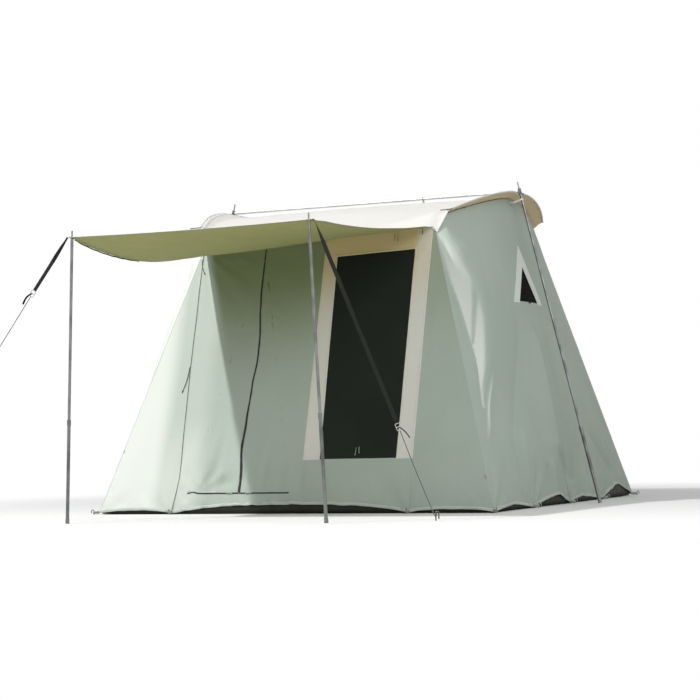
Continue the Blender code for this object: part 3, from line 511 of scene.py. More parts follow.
def metal(name, colour, worn_colour, roughness, size=0.05):
    """Bare or plated metal with smudges and fine drawn lines."""
    made, tree, shader = blank(name)
    place = node(tree, "ShaderNodeTexCoord").outputs["Object"]
    wear = use(tree, "metal wear", {"Place": place, "Size": size})
    surface = blended(tree, wear["Smudges"], colour, worn_colour)
    rough = stepped(tree, wear["Smudges"], 0.0, 1.0, roughness, roughness + 0.18)
    bump = node(tree, "ShaderNodeBump", {"Strength": 0.25, "Distance": 0.0003, "Height": wear["Scratches"]})
    fed(tree, shader, {"Base Color": surface, "Roughness": rough, "Normal": bump.outputs[0], "Metallic": 1.0})
    return made


def refinish(finish, *names):
    """Gives CAD nodes a better material."""
    for name in names:
        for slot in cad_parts[name].material_slots:
            slot.material = finish


galvanised = metal("galvanised steel", linear(158, 160, 158), linear(118, 120, 117), 0.38, size=0.01)
dull_steel = metal("dull peg steel", linear(112, 114, 110), linear(84, 86, 82), 0.46, size=0.01)
refinish(galvanised, *[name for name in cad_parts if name.startswith("stake")])
refinish(dull_steel, "guy_stake_left", "guy_stake_right")


# Front wall
# Sage cotton canvas in three widths with felled seams, cut out for the door and the window.
# It hangs from the front eave, leans out to the pegs, and its hem rises a little between them.
# Green piping is sewn into the left seam.

SILL_Z = 0.135
DOOR_LEFT, DOOR_RIGHT, ZIP_FOOT = -0.80, 0.0, -0.39
DOOR_TOP = (-0.40, 1.86)
FLAP_HEAD_Z = 1.7785
WINDOW_LEFT, WINDOW_RIGHT, WINDOW_SILL_Z = 0.075, 0.89, 0.36
SILL_ZIP_Z = SILL_Z + 0.008
SEAM_LAP = 0.004
SEAM_WIDTH, HEM_WIDTH = 0.014, 0.018
FRONT_LIFTS = ((0.020, 0.5), (0.055, 0.5), (0.020, 0.5))
HEAD_CREASE = ((1.875, -0.758), (1.857, -0.726), (1.756, -0.548), (1.735, -0.510))
OUT_FRONT = Vector((0.0, -FRONT_EAVE_Z, FRONT_EAVE_Y + FLOOR_HALF)).normalized()

# These mask colours are painted light: a pale one paints sunlight on the cloth, and the dark olive 'kept' one
# paints the awning's shade.
sage_masks = {"painted_sun": linear(238, 243, 236), "kept": linear(141, 152, 114)}
sage = canvas("sage canvas", linear(188, 201, 190), linear(176, 190, 178), splash=0.12, masks=sage_masks)
sage_seam = canvas(
    "sage seam", linear(188, 201, 190), linear(176, 190, 178), splash=0.12,
    row=0.0065, thread=linear(204, 213, 203), grip=0.4, masks=sage_masks,
)
sage_hem = canvas(
    "sage hem", linear(208, 217, 207), linear(194, 205, 194), splash=0.12,
    row=0.0065, thread=linear(222, 228, 220), grip=0.5,
)
piping = canvas("green piping", linear(122, 132, 120), linear(106, 116, 104), threads=520.0, grip=0.5)


def hem(along, pegs, lifts, power=3.0):
    """Height of a wall's lower edge, held down at each peg and lifted most at a peak between them."""
    for low, high, (lift, peak) in zip(pegs, pegs[1:], lifts):
        if along <= high:
            share = (along - low) / (high - low)
            off = (peak - share) / peak if share < peak else (share - peak) / (1.0 - peak)
            ragged = slack(along, 0.0, 0.09, 0.16, 3.0) * sin(pi * share)
            return 0.006 + lift * (1.0 - min(off, 1.0) ** power) * (1.0 + ragged)
    return 0.006


def above_tray(folds, z):
    """Keeps the cloth outside the groundsheet's turned-up edge."""
    clear = max(folds, -0.004)
    return mixed(clear, folds, eased((z - TRAY_EDGE - 0.01) / 0.08))


def eave_rise(x):
    """The front eave stands a little higher towards the right."""
    return (0.045 if x > 0 else 0.028) * x


def eave_tilt(x):
    """The eave's rise on the walls and the roof, which dies out at their corners."""
    return eave_rise(x) * eased((EAVE_HALF - abs(x)) / (0.045 if x > 0 else 0.14))


def rays(x, z, peg, reach, depth, count, turn=0.0):
    """Creases that spread from a peg or a corner and die out with distance."""
    away = hypot(x - peg[0], z - peg[1])
    fan = cos(count * atan2(z - peg[1], x - peg[0]) + turn)
    return depth * fan * eased(away / 0.10) * exp(-away / reach)


def x_at(foot, top, z):
    """Where the line from foot to top stands at height z."""
    return mixed(foot[0], top[0], (z - foot[1]) / (top[1] - foot[1]))


hinge_left = ((DOOR_LEFT, SILL_Z), DOOR_TOP)
hinge_right = ((DOOR_RIGHT, SILL_Z), DOOR_TOP)


def calm(x, z, foot, top, room=0.08):
    """0 on a line of the door, 1 away from it, so that its edges stay on their hinges."""
    return eased(abs(x - x_at(foot, top, z)) / room) if foot[1] - 0.05 < z < top[1] else 1.0


ZIP_WANDER = (
    (0.135, 0.0), (0.27, 0.0), (0.456, -0.017), (0.624, -0.004), (0.881, 0.011),
    (1.072, 0.031), (1.20, 0.030), (1.45, 0.008), (1.56, 0.0), (1.86, 0.0),
)


def zip_x(z):
    """The zip runs in a soft wave between its ends."""
    for (low, start), (high, end) in zip(ZIP_WANDER, ZIP_WANDER[1:]):
        if z <= high:
            return x_at((ZIP_FOOT, SILL_Z), DOOR_TOP, z) + mixed(start, end, eased((z - low) / (high - low)))
    return DOOR_TOP[0]


def on_line(line, z):
    """What a line of (height, value) pairs, top first, gives at height z, and how far down it z lies."""
    for (high, start), (low, end) in zip(line, line[1:]):
        if high >= z >= low:
            return mixed(start, end, (high - z) / (high - low)), (line[0][0] - z) / (line[0][0] - line[-1][0])
    return None


def creased(y, z, line, before, behind, depth):
    """A sharp ridge or groove down the wall that dies out at both its ends."""
    found = on_line(line, z)
    if not found:
        return 0.0
    past = y - found[0]
    ends = eased(found[1] / 0.25) * eased((1.0 - found[1]) / 0.25)
    return depth * ends * exp(-abs(past) / (before if past < 0 else behind))


def corner_x(z):
    """Half the front wall's width at height z."""
    return mixed(FLOOR_HALF, EAVE_HALF, z / FRONT_EAVE_Z)


def front_cloth(x, z):
    """The front wall's outer face with its slack and creases."""
    folds = slack(x, z * 0.6, 0.55, 0.012, 1.0) + slack(x, z * 0.35, 0.16, 0.004, 2.0)
    for peg in FRONT_PEGS:
        folds += rays(x, z, (peg, -0.02), 0.22, 0.007, 9, peg)
    for side in (-1, 1):
        folds += rays(x, z, (side * EAVE_HALF, FRONT_EAVE_Z), 0.45, 0.006, 16, side)
    folds += creased(x, z, HEAD_CREASE, 0.03, 0.03, -0.008)
    if z > SILL_Z:
        folds += rays(x, z, (-0.70, 0.150), 0.17, 0.024, 9, 0.4) * eased((x + 0.88) / 0.08)
    elif -0.88 < x < 0.22:
        below = z - mixed(0.134, 0.060, (x + 0.861) / 1.05)
        wrinkle = 0.0035 * cos(2 * pi * below / 0.034 + 2.0 * slack(x, z, 0.2, 1.0, 6.0))
        folds += wrinkle * eased((x + 0.88) / 0.1) * eased((0.22 - x) / 0.1)
    gather = eased((0.75 - z) / 0.6) * eased((x + 0.95) / 0.1) * eased((0.15 - x) / 0.1)
    folds += gather * 0.007 * (sin(x * 46.0 + 2.0 * sin(z * 7.0)) + 0.6 * sin(x * 83.0 - z * 9.0) - 0.6)
    if WINDOW_LEFT - 0.05 < x < WINDOW_RIGHT + 0.05 and z > WINDOW_SILL_Z - 0.05:
        folds *= 0.45
    folds *= calm(x, z, *hinge_left) * calm(x, z, *hinge_right)
    zip_room = eased(abs(x - zip_x(z)) / 0.07) if SILL_Z - 0.05 < z < DOOR_TOP[1] else 1.0
    if DOOR_LEFT - 0.02 < x < DOOR_RIGHT + 0.02:
        zip_room *= eased((abs(z - SILL_ZIP_Z) - 0.014) / 0.05)
    folds = folds * zip_room if folds > 0 else folds * mixed(0.3, 1.0, zip_room)
    # The sill zip pulls the cloth in a little, which leaves its sliders room to run.
    track = eased((0.036 - abs(z - SILL_ZIP_Z)) / 0.02) * eased((x - DOOR_LEFT) / 0.03)
    folds -= 0.0024 * track * eased((DOOR_RIGHT - x) / 0.03)
    held = eased((corner_x(z) - abs(x)) / 0.12) * eased((FRONT_EAVE_Z - z) / 0.10)
    lifted = Vector((0.0, 0.0, eave_tilt(x) * (z / FRONT_EAVE_Z) ** 4))
    return across_front(x, z) + OUT_FRONT * (above_tray(folds, z) * held) + lifted


def stretch(points, step):
    """An open line with points added along it."""
    line = [points[0]]
    for a, b in zip(points, points[1:]):
        count = max(1, ceil(hypot(b[0] - a[0], b[1] - a[1]) / step))
        line += [(mixed(a[0], b[0], i / count), mixed(a[1], b[1], i / count)) for i in range(1, count + 1)]
    return line


def tape(name, line, width, place, finish, lift=0.0014, facing=1, step=0.02, masks=None):
    """A folded seam or a band sewn on along a line of the cloth."""
    line = [Vector(point) for point in stretch(line, step)]
    points, faces, flat, places = [], [], [], []
    run = 0.0
    nudge = 0.002
    profile = ((-0.5, 0.1), (-0.44, 1.0), (0.0, 1.15), (0.44, 1.0), (0.5, 0.1))
    for number, here in enumerate(line):
        ahead = (line[min(number + 1, len(line) - 1)] - line[max(number - 1, 0)]).normalized()
        aside = Vector((-ahead.y, ahead.x))
        for across, height in profile:
            reach = width(here.y) if callable(width) else width
            x, y = here + aside * (across * reach)
            base = place(x, y)
            normal = (place(x + nudge, y) - base).cross(place(x, y + nudge) - base).normalized()
            points.append(base + normal * (facing * (0.0003 + lift * height)))
            flat.append((run, across * reach))
            places.append((x, y))
        run += (line[min(number + 1, len(line) - 1)] - here).length
    size = len(profile)
    for number in range(len(line) - 1):
        for k in range(size - 1):
            a = number * size + k
            face = (a, a + size, a + size + 1, a + 1)
            faces.append(face if facing < 0 else tuple(reversed(face)))
    return marked(surface_object(name, points, faces, flat, [finish]), places, masks)


def tube(name, path, radius, finish, sides=10, swell=None):
    """A round cord, sleeve or bar along a path of points."""
    points, faces, flat = [], [], []
    side = None
    run = 0.0
    count = len(path)
    for number, point in enumerate(path):
        ahead = (path[min(number + 1, count - 1)] - path[max(number - 1, 0)]).normalized()
        if side is None:
            side = ahead.orthogonal().normalized()
        side = (side - ahead * side.dot(ahead)).normalized()
        other = ahead.cross(side)
        reach = radius * (swell(number / (count - 1)) if swell else 1.0)
        for k in range(sides):
            turn = 2 * pi * k / sides
            points.append(point + (side * cos(turn) + other * sin(turn)) * reach)
            flat.append((run, radius * turn))
        run += (path[min(number + 1, count - 1)] - point).length
    for number in range(count - 1):
        for k in range(sides):
            a, b = number * sides + k, number * sides + (k + 1) % sides
            faces.append((a, b, b + sides, a + sides))
    faces += [tuple(reversed(range(sides))), tuple(range((count - 1) * sides, count * sides))]
    return surface_object(name, points, faces, flat, [finish])


def hem_line(pegs, lifts, start, end, step=0.03, power=3.0):
    """The points of a wall's lower edge, with one at every peg."""
    count = ceil(abs(end - start) / step)
    places = {mixed(start, end, i / count) for i in range(count + 1)} | {p for p in pegs if start < p < end}
    return [(place, hem(place, pegs, lifts, power)) for place in sorted(places)]


def front_painted_sun(x, z):
    """Painted sunlight: the left of the wall, out of the awning's shadow, is paler, most near the ground."""
    inner = eased((-0.64 - x) / 0.16) * (0.28 + 0.26 * eased((0.75 - z) / 0.5))
    return max(inner, 0.95 * eased((-0.90 - x) / 0.22))


def front_painted_shade(x, z):
    """Painted shade: under the awning the wall's head is darker and olive, up to the awning's shadow edge."""
    right = mixed(1.0, 0.45, eased((x - 0.86) / 0.04))
    left = -0.883 + 0.321 * (FRONT_EAVE_Z - z)
    return eased((z - 0.95) / 0.78) * eased((x - left + 0.01) / 0.06) * right


# The front wall's masks: painted sunlight on its left part and painted shade under the awning.
front_masks = {"painted_sun": front_painted_sun, "kept": front_painted_shade}
front_cut = [
    *hem_line(FRONT_PEGS, FRONT_LIFTS, -corner_x(0.006), corner_x(0.006)),
    (EAVE_HALF, FRONT_EAVE_Z),
    (-EAVE_HALF, FRONT_EAVE_Z),
]
doorway = [
    (DOOR_LEFT + SEAM_LAP, SILL_Z),
    (DOOR_RIGHT - SEAM_LAP, SILL_Z),
    (x_at(*hinge_right, FLAP_HEAD_Z) - SEAM_LAP, FLAP_HEAD_Z),
    (x_at(*hinge_left, FLAP_HEAD_Z) + SEAM_LAP, FLAP_HEAD_Z),
]
window_gap = [
    (WINDOW_LEFT + 0.012, WINDOW_SILL_Z + 0.004), (WINDOW_RIGHT - 0.012, WINDOW_SILL_Z + 0.004),
    (WINDOW_RIGHT - 0.012, FRONT_EAVE_Z - 0.012), (WINDOW_LEFT + 0.012, FRONT_EAVE_Z - 0.012),
]
front_holes = [doorway, window_gap]
front_wall = cut_cloth(
    "front_wall_canvas", front_cut, front_cloth, 0.024, [sage], holes=front_holes, masks=front_masks,
)
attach(front_wall, "tent")
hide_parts("front_wall_left", "front_wall_centre", "front_wall_right", "door_sill")

left_line = [
    (-0.903, hem(-0.903, FRONT_PEGS, FRONT_LIFTS)), (-0.877, 0.242), (-0.899, 1.013), (-0.900, 1.40),
    (-0.908, FRONT_EAVE_Z - 0.030),
]
piping_path = [front_cloth(x, z) + OUT_FRONT * 0.0015 for x, z in stretch(left_line, 0.03)]
right_line = [(0.905, hem(0.905, FRONT_PEGS, FRONT_LIFTS)), (0.902, WINDOW_SILL_Z)]
below_window = [(WINDOW_LEFT, WINDOW_SILL_Z - 0.008), (WINDOW_RIGHT, WINDOW_SILL_Z - 0.008)]
front_hem = [(x, z + 0.010) for x, z in hem_line(FRONT_PEGS, FRONT_LIFTS, -1.49, 1.49)]
front_seams = merged("front_seams", [
    tape("seam_left", left_line, SEAM_WIDTH, front_cloth, sage_seam, lift=0.0008, masks=front_masks),
    tube("seam_piping", piping_path, 0.0032, piping, sides=8),
    tape("seam_right", right_line, SEAM_WIDTH, front_cloth, sage_seam, lift=0.0008, masks=front_masks),
    tape("seam_below_window", below_window, SEAM_WIDTH, front_cloth, sage_seam, lift=0.0008),
    tape("hem_front", front_hem, HEM_WIDTH, front_cloth, sage_hem),
])
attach(front_seams, "tent")


def flat_area(outline, holes=()):
    """The area of a flat cut, less its holes."""
    total = 0.0
    for loop, sign in [(outline, 1), *[(hole, -1) for hole in holes]]:
        sides = zip(loop, loop[1:] + loop[:1])
        total += sign * abs(sum(ax * by - bx * ay for (ax, ay), (bx, by) in sides)) / 2
    return total


flat_area(front_cut, front_holes)


# Window
# A frame of cream canvas is sewn over a tall opening and backed with black insect mesh.
# Its inner and outer edges are stitched down, and a seam of the wall holds it at the foot.

MESH_LEFT_FOOT, MESH_LEFT_HEAD, MESH_RIGHT, MESH_TOP_Z = 0.203, 0.177, 0.77, 1.765

# The 'kept' colours of the cream cloth and its seams are painted shade: warmer and darker where the awning
# shades the border's head.
cream = canvas(
    "cream canvas", linear(237, 237, 230), linear(229, 227, 217), splash=0.05,
    masks={"kept": linear(224, 205, 156)},
)
cream_seam = canvas(
    "cream seam", linear(233, 232, 224), linear(224, 221, 210),
    row=0.005, thread=linear(243, 241, 234), grip=0.5, masks={"kept": linear(218, 199, 150)},
)


def netting(name, colour, strand, shine):
    """Fine mesh: dark strands with darker gaps between them."""
    made, tree, shader = blank(name)
    place = node(tree, "ShaderNodeTexCoord").outputs
    weave = use(tree, "plain weave", {"Place": place["UV"], "Threads": 420.0})
    worn = use(tree, "weathering", {"Place": place["Object"], "Size": 0.5})
    faded = stepped(tree, worn["Patches"], 0.0, 1.0, 0.5, 1.0)
    strands = sums(tree, "MULTIPLY", stepped(tree, weave["Height"], 0.45, 0.9), faded)
    bump = node(tree, "ShaderNodeBump", {"Strength": 0.5, "Distance": 0.0006, "Height": weave["Height"]})
    fed(tree, shader, {
        "Base Color": blended(tree, strands, colour, strand),
        "Roughness": stepped(tree, weave["Height"], 0.0, 1.0, 0.85, 0.6),
        "Normal": bump.outputs[0],
        "Specular IOR Level": shine,
    })
    return made


insect_mesh = netting("black insect mesh", linear(28, 33, 28), linear(48, 55, 48), 0.15)


def raised(place, amount, facing=1):
    """The same cloth surface, moved out along its own normal."""
    def moved(x, y):
        """A point of the cloth, moved out."""
        base = place(x, y)
        normal = (place(x + 0.004, y) - base).cross(place(x, y + 0.004) - base).normalized()
        return base + normal * (facing * amount)
    return moved


def border_painted_shade(x, z):
    """Painted shade: the border's head is warmer and darker under the awning, less so on its sunnier right.
    """
    return eased((z - 1.30) / 0.50) * mixed(1.0, 0.35, eased((x - 0.76) / 0.05))


border_masks = {"kept": border_painted_shade}
frame_cut = [
    (WINDOW_LEFT, WINDOW_SILL_Z), (MESH_LEFT_FOOT, WINDOW_SILL_Z),
    (MESH_LEFT_HEAD, MESH_TOP_Z), (MESH_RIGHT, MESH_TOP_Z),
    (MESH_RIGHT, WINDOW_SILL_Z), (WINDOW_RIGHT, WINDOW_SILL_Z),
    (WINDOW_RIGHT, FRONT_EAVE_Z - 0.003), (WINDOW_LEFT, FRONT_EAVE_Z - 0.003),
]
on_border = raised(front_cloth, 0.0012)
window_border = cut_cloth("window_border", frame_cut, on_border, 0.026, [cream], masks=border_masks)
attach(window_border, "tent")
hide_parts("window_frame")
mesh_cut = [
    (MESH_LEFT_FOOT - 0.009, WINDOW_SILL_Z - 0.004), (MESH_RIGHT + 0.009, WINDOW_SILL_Z - 0.004),
    (MESH_RIGHT + 0.009, MESH_TOP_Z + 0.009), (MESH_LEFT_HEAD - 0.009, MESH_TOP_Z + 0.009),
]
window_netting = cut_cloth(
    "window_netting", mesh_cut, raised(front_cloth, -0.0022), 0.04, [insect_mesh], thickness=0.0006,
)
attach(window_netting, "tent")
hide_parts("window_mesh")

left_edge = [(MESH_LEFT_FOOT - 0.008, WINDOW_SILL_Z), (MESH_LEFT_HEAD - 0.008, MESH_TOP_Z + 0.006)]
top_edge = [(MESH_LEFT_HEAD - 0.014, MESH_TOP_Z + 0.008), (MESH_RIGHT + 0.014, MESH_TOP_Z + 0.008)]
right_edge = [(MESH_RIGHT + 0.008, WINDOW_SILL_Z), (MESH_RIGHT + 0.008, MESH_TOP_Z + 0.006)]
outer_left = [(WINDOW_LEFT + 0.008, WINDOW_SILL_Z), (WINDOW_LEFT + 0.008, FRONT_EAVE_Z - 0.01)]
outer_right = [(WINDOW_RIGHT - 0.008, WINDOW_SILL_Z), (WINDOW_RIGHT - 0.008, FRONT_EAVE_Z - 0.01)]
window_edges = merged("window_edges", [
    tape(name, line, SEAM_WIDTH, place, cream_seam, lift=lift, masks=border_masks)
    for name, line, place, lift in (
        ("edge_left", left_edge, on_border, 0.0009),
        ("edge_top", top_edge, raised(front_cloth, 0.0014), 0.0009),
        ("edge_right", right_edge, on_border, 0.0009),
        ("outer_left", outer_left, on_border, 0.0007),
        ("outer_right", outer_right, on_border, 0.0007),
    )
])
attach(window_edges, "tent")
flat_area(frame_cut)


# Ties and pulls
# Short cords hang against the front wall from stitched ends, each with a knot at its tip.
# One black and two pale ones hang under the eave, two green ones at the left seam.
# Two pale ones at the window's foot are its pulls.

dark_webbing = canvas(
    "black webbing", linear(38, 42, 38), linear(27, 31, 27), threads=620.0,
    row=0.0065, thread=linear(66, 66, 64), grip=0.8,
)


def rounded(share):
    """The thickness of a small knot, thinner at its ends."""
    return 0.45 + 0.55 * sin(pi * share)


def hanging(name, x, z, length, finish, thick=0.0022, drift=0.0):
    """A short cord that hangs against the wall from a stitched end, with a knot at its tip."""
    path = []
    for step in range(9):
        share = step / 8
        off = raised(front_cloth, 0.0035 + 0.002 * sin(pi * share))
        path.append(off(x + drift * share ** 2, z - length * share))
    knot = [mixed(path[-1], path[-2], t) for t in (0.6, 0.3, 0.0, -0.3)]
    return [
        tube(name, path, thick, finish, sides=8),
        tube(f"{name}_knot", knot, thick * 2.0, finish, sides=8, swell=rounded),
    ]


window_ties = merged("window_ties", hanging("tie_c", 0.815, 1.890, 0.030, dark_webbing))
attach(window_ties, "tent")
seam_ties = merged("seam_ties", [
    *hanging("tie_top", -0.912, 1.811, 0.104, piping, thick=0.0026, drift=0.034),
    *hanging("tie_middle", -0.905, 1.029, 0.174, piping, thick=0.0026, drift=-0.036),
])
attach(seam_ties, "tent")
mesh_pulls = merged("mesh_pulls", [
    *hanging("tie_a", 0.605, 1.886, 0.050, pale_webbing),
    *hanging("tie_b", 0.628, 1.886, 0.058, pale_webbing, drift=0.006),
    *hanging("pull_a", 0.470, 0.435, 0.048, pale_webbing, drift=-0.004),
    *hanging("pull_b", 0.492, 0.442, 0.042, pale_webbing, drift=0.003),
])
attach(mesh_pulls, "tent")


# Door
# Two flaps of the same canvas meet at a two-way zip, and a second zip runs along the sill.
# The zips are black coil on black tape, sewn under the folded edge of each flap, with nickel sliders.

ZIP_FOLD = 0.012
COIL_LIFT, FOLD_LIFT, SILL_COIL_WIDTH = 0.0060, 0.0114, 0.0105


def zip_half(z):
    """Half the zip's width that shows: the cloth gapes more towards the foot and is a little ragged."""
    return mixed(0.0092, 0.0058, eased((z - 0.45) / 0.35)) * (1.0 + slack(z, 0.0, 0.05, 0.30, 7.0))


tree, given, out = effect(
    "coil teeth",
    {"Place": "NodeSocketVector", "Pitch": "NodeSocketFloat"},
    {"Height": "NodeSocketFloat"},
)
phase = sums(tree, "MULTIPLY", sums(tree, "DIVIDE", apart(tree, given["Place"])[0], given["Pitch"]), 2.0 * pi)
tree.links.new(stepped(tree, sums(tree, "SINE", phase), -1.0, 1.0), out["Height"])

zip_black, tree, shader = blank("zip coil")
place = node(tree, "ShaderNodeTexCoord").outputs
teeth = use(tree, "coil teeth", {"Place": place["UV"], "Pitch": 0.0032})
worn = use(tree, "weathering", {"Place": place["Object"], "Size": 0.2})
zip_dark = blended(tree, sums(tree, "MULTIPLY", teeth["Height"], 0.6), linear(18, 20, 18), linear(52, 54, 50))
bump = node(tree, "ShaderNodeBump", {"Strength": 0.9, "Distance": 0.0012, "Height": teeth["Height"]})
fed(tree, shader, {
    "Base Color": blended(tree, sums(tree, "MULTIPLY", worn["Patches"], 0.25), zip_dark, linear(64, 66, 60)),
    "Roughness": stepped(tree, worn["Patches"], 0.0, 1.0, 0.42, 0.6),
    "Normal": bump.outputs[0],
})

zip_edge = [(zip_x(z), z) for z in np.linspace(SILL_Z, FLAP_HEAD_Z, 60)]


def sill_wave(x):
    """The zip along the sill is pulled up a little at its left end, where the flap gathers."""
    return 0.009 * eased(1.0 - abs(x + 0.755) / 0.05)


for side, foot, line in (("left", DOOR_LEFT, hinge_left), ("right", DOOR_RIGHT, hinge_right)):
    way = -1 if side == "left" else 1
    cut = [(foot, SILL_Z), *zip_edge, (x_at(*line, FLAP_HEAD_Z), FLAP_HEAD_Z)]
    if side == "right":
        cut.reverse()
    # The flaps take the wall's painted sunlight and painted shade too.
    flap = cut_cloth(
        f"door_canvas_{side}", cut, raised(front_cloth, 0.0007), 0.024, [sage], masks=front_masks,
    )
    body = f"door_flap_{side}_body"
    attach(flap, body)
    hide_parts(f"door_flap_{side}")
    rise = [(zip_x(z), z) for z in np.linspace(SILL_Z + 0.012, FLAP_HEAD_Z - 0.002, 62)]
    low = [(x, SILL_Z) for x in np.linspace(foot - way * 0.004, ZIP_FOOT + way * 0.002, 30)]
    coil = [(x + way * (zip_half(z) / 2 + 0.0003), z) for x, z in rise]
    sill_coil = [(x, z + COIL_LIFT + sill_wave(x)) for x, z in low]
    zips = merged(f"door_zip_{side}", [
        tape(f"zip_coil_{side}", coil, zip_half, front_cloth, zip_black, lift=0.0020),
        tape(f"sill_coil_{side}", sill_coil, SILL_COIL_WIDTH, front_cloth, zip_black, lift=0.0012),
    ])
    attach(zips, body)
    fold = [(x + way * (zip_half(z) + ZIP_FOLD / 2), z) for x, z in rise]
    sill_fold = [(x, z + FOLD_LIFT + sill_wave(x) + ZIP_FOLD / 2) for x, z in low[1:-2]]
    folded = merged(f"door_edge_{side}", [
        tape(f"zip_fold_{side}", fold, ZIP_FOLD, front_cloth, sage_seam, lift=0.0012, masks=front_masks),
        tape(f"sill_fold_{side}", sill_fold, ZIP_FOLD, front_cloth, sage_hem, lift=0.0002),
    ])
    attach(folded, body)
    flat_area(cut)

head_line = [(zip_x(z), z) for z in np.linspace(FLAP_HEAD_Z + 0.003, FRONT_EAVE_Z - 0.02, 8)]
zip_head = tape("zip_head", head_line, 0.011, front_cloth, zip_black, lift=0.0014)
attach(zip_head, "tent")
nickel = metal("nickel plate", linear(182, 182, 178), linear(150, 150, 146), 0.24, size=0.01)
refinish(nickel, "door_zip_slider", "bottom_zip_slider_left", "bottom_zip_slider_right")


# Side walls
# Each is one wall of sage canvas with a seam down its middle, from the ridge to a peg.
# A big slack fold with painted sunlight on its face runs behind the front corner; creases spread from the
# pegs.
# High up is a triangular vent: black mesh with a pale tape round it and a small toggle at its foot.

SIDE_LIFTS = ((0.032, 0.56), (0.066, 0.73), (0.036, 0.42), (0.098, 0.64))
HEM_POWER = 1.25
VENT_HALF, VENT_OUTER_HALF = 0.18, 0.285
VENT_SILL_Z, VENT_TOP_Z, VENT_APEX_Z = 1.45, 1.715, 1.87
# The big fold behind the front corner: the crest that hides its valley, how wide it opens, the groove in its
# sunlit face, how much painted sunlight the face takes above the groove, and how much it takes in all.
CREST = (
    (1.92, -1.49), (1.75, -1.472), (1.56, -1.452), (1.395, -1.420),
    (1.20, -1.392), (1.06, -1.368), (0.93, -1.345), (0.68, -1.338),
)
OPENING = (
    (1.92, 0.03), (1.75, 0.16), (1.60, 0.28), (1.47, 0.35),
    (1.30, 0.33), (1.05, 0.20), (0.82, 0.07), (0.68, 0.02),
)
GROOVE = ((1.90, -1.36), (1.748, -1.270), (1.615, -1.150), (1.415, -1.195), (1.12, -1.30))
PAINTED_SUN_PAST_GROOVE = ((1.90, 0.0), (1.56, 0.0), (1.36, 0.85), (1.12, 1.0))
PAINTED_SUN_SHARE = ((1.92, 0.30), (1.70, 0.42), (1.40, 0.70), (1.0, 0.92), (0.68, 0.8))
# Each crease's line from its top, how fast it fades to the front and to the back of it, and its depth.
CREASES = (
    (((1.42, -0.112), (1.136, -0.097), (0.825, -0.095), (0.482, -0.115), (0.10, -0.178)), 0.42, 0.26, 0.048),
    (((1.615, -1.165), (1.415, -1.225), (1.12, -1.32)), 0.03, 0.03, -0.007),
    (((0.92, -1.105), (0.877, -1.130), (0.69, -1.245), (0.46, -1.345)), 0.035, 0.06, 0.012),
    (((0.42, -0.150), (0.390, -0.123), (0.25, 0.060), (0.10, 0.235)), 0.07, 0.025, -0.024),
    (
        ((1.40, 0.10), (1.333, 0.167), (1.151, 0.395), (0.882, 0.665), (0.620, 0.912), (0.18, 1.285)),
        0.12, 0.22, 0.030,
    ),
    (((1.60, 0.76), (1.264, 0.940), (1.022, 1.180), (0.738, 1.365), (0.50, 1.44)), 0.10, 0.06, 0.026),
    (((0.55, 0.80), (0.472, 0.875), (0.220, 1.145), (0.12, 1.25)), 0.06, 0.03, -0.020),
    (((0.62, 1.05), (0.35, 1.26), (0.12, 1.40)), 0.06, 0.025, -0.020),
    (((0.80, 1.20), (0.45, 1.36), (0.15, 1.45)), 0.04, 0.02, -0.014),
    (((1.32, -0.380), (1.067, -0.520), (0.758, -0.728), (0.34, -0.955)), 0.14, 0.20, -0.020),
    (((0.60, -0.70), (0.30, -0.735), (0.06, -0.745)), 0.04, 0.06, 0.016),
    (((0.50, -0.92), (0.28, -0.85), (0.06, -0.770)), 0.05, 0.05, -0.013),
    (((0.34, -0.275), (0.146, -0.223), (0.06, -0.200)), 0.04, 0.025, 0.022),
    (((0.30, -0.40), (0.16, -0.31), (0.06, -0.24)), 0.04, 0.03, -0.012),
    (((0.46, 0.42), (0.25, 0.56), (0.08, 0.70)), 0.06, 0.03, -0.014),
)


def corner_fold(y, z):
    """Cloth rounds the corner, dips in behind it and comes out again in a broad face towards the front."""
    found = on_line(CREST, z)
    if not found:
        return 0.0
    crest, down = found
    wide, _ = on_line(OPENING, z)
    ends = eased(down / 0.16) * eased((1.0 - down) / 0.30)
    past = y - crest
    if past <= 0:
        lift = 0.030 * eased(1.0 + past / (crest + FLOOR_HALF + 1e-6))
    elif past <= 0.04:
        lift = mixed(0.030, -0.030, eased(past / 0.04))
    elif past <= 0.04 + wide:
        lift = mixed(-0.030, 0.038, (past - 0.04) / wide)
    else:
        lift = 0.038 * exp(-(((past - 0.04 - wide) / 0.42) ** 2))
    return lift * ends


def fold_painted_sun(y, z):
    """Painted sunlight on the faces of the front folds and along one thin crease."""
    pale = 0.0
    found = on_line(CREST, z)
    if found:
        wide, _ = on_line(OPENING, z)
        past = y - found[0]
        inside = eased((past + 0.012) / 0.02) * eased((wide + 0.01 - past) / mixed(0.02, 0.06, wide / 0.35))
        groove = on_line(GROOVE, z)
        if groove:
            beyond = on_line(PAINTED_SUN_PAST_GROOVE, z)[0]
            dull = mixed(0.12, 0.03, eased((1.50 - z) / 0.38))
            past_groove = y - groove[0]
            again = beyond * eased((past_groove - dull * 0.5) / 0.03)
            inside *= 1.0 - eased((past_groove + 0.02) / 0.04) * (1.0 - again)
        pale = max(pale, inside * on_line(PAINTED_SUN_SHARE, z)[0])
    thin = on_line(CREASES[2][0], z)
    if thin:
        pale = max(pale, 0.9 * sin(pi * thin[1]) * exp(-(((y - thin[0] + 0.006) / 0.018) ** 2)))
    return pale


def left_painted_sun(y, z):
    """Painted sunlight along the left wall's front edge and on its folds."""
    return max(fold_painted_sun(y, z), 0.9 * eased((-0.70 - y) / 0.5))


def side_outwards(side, base_y, z):
    """The way out of the side wall's smooth surface."""
    here = along_side(side, base_y, z)
    over = along_side(side, base_y + copysign(0.01, -base_y), z) - here
    up = along_side(side, base_y, z - 0.01) - here
    normal = over.cross(up).normalized()
    return normal if normal.x * side > 0 else -normal


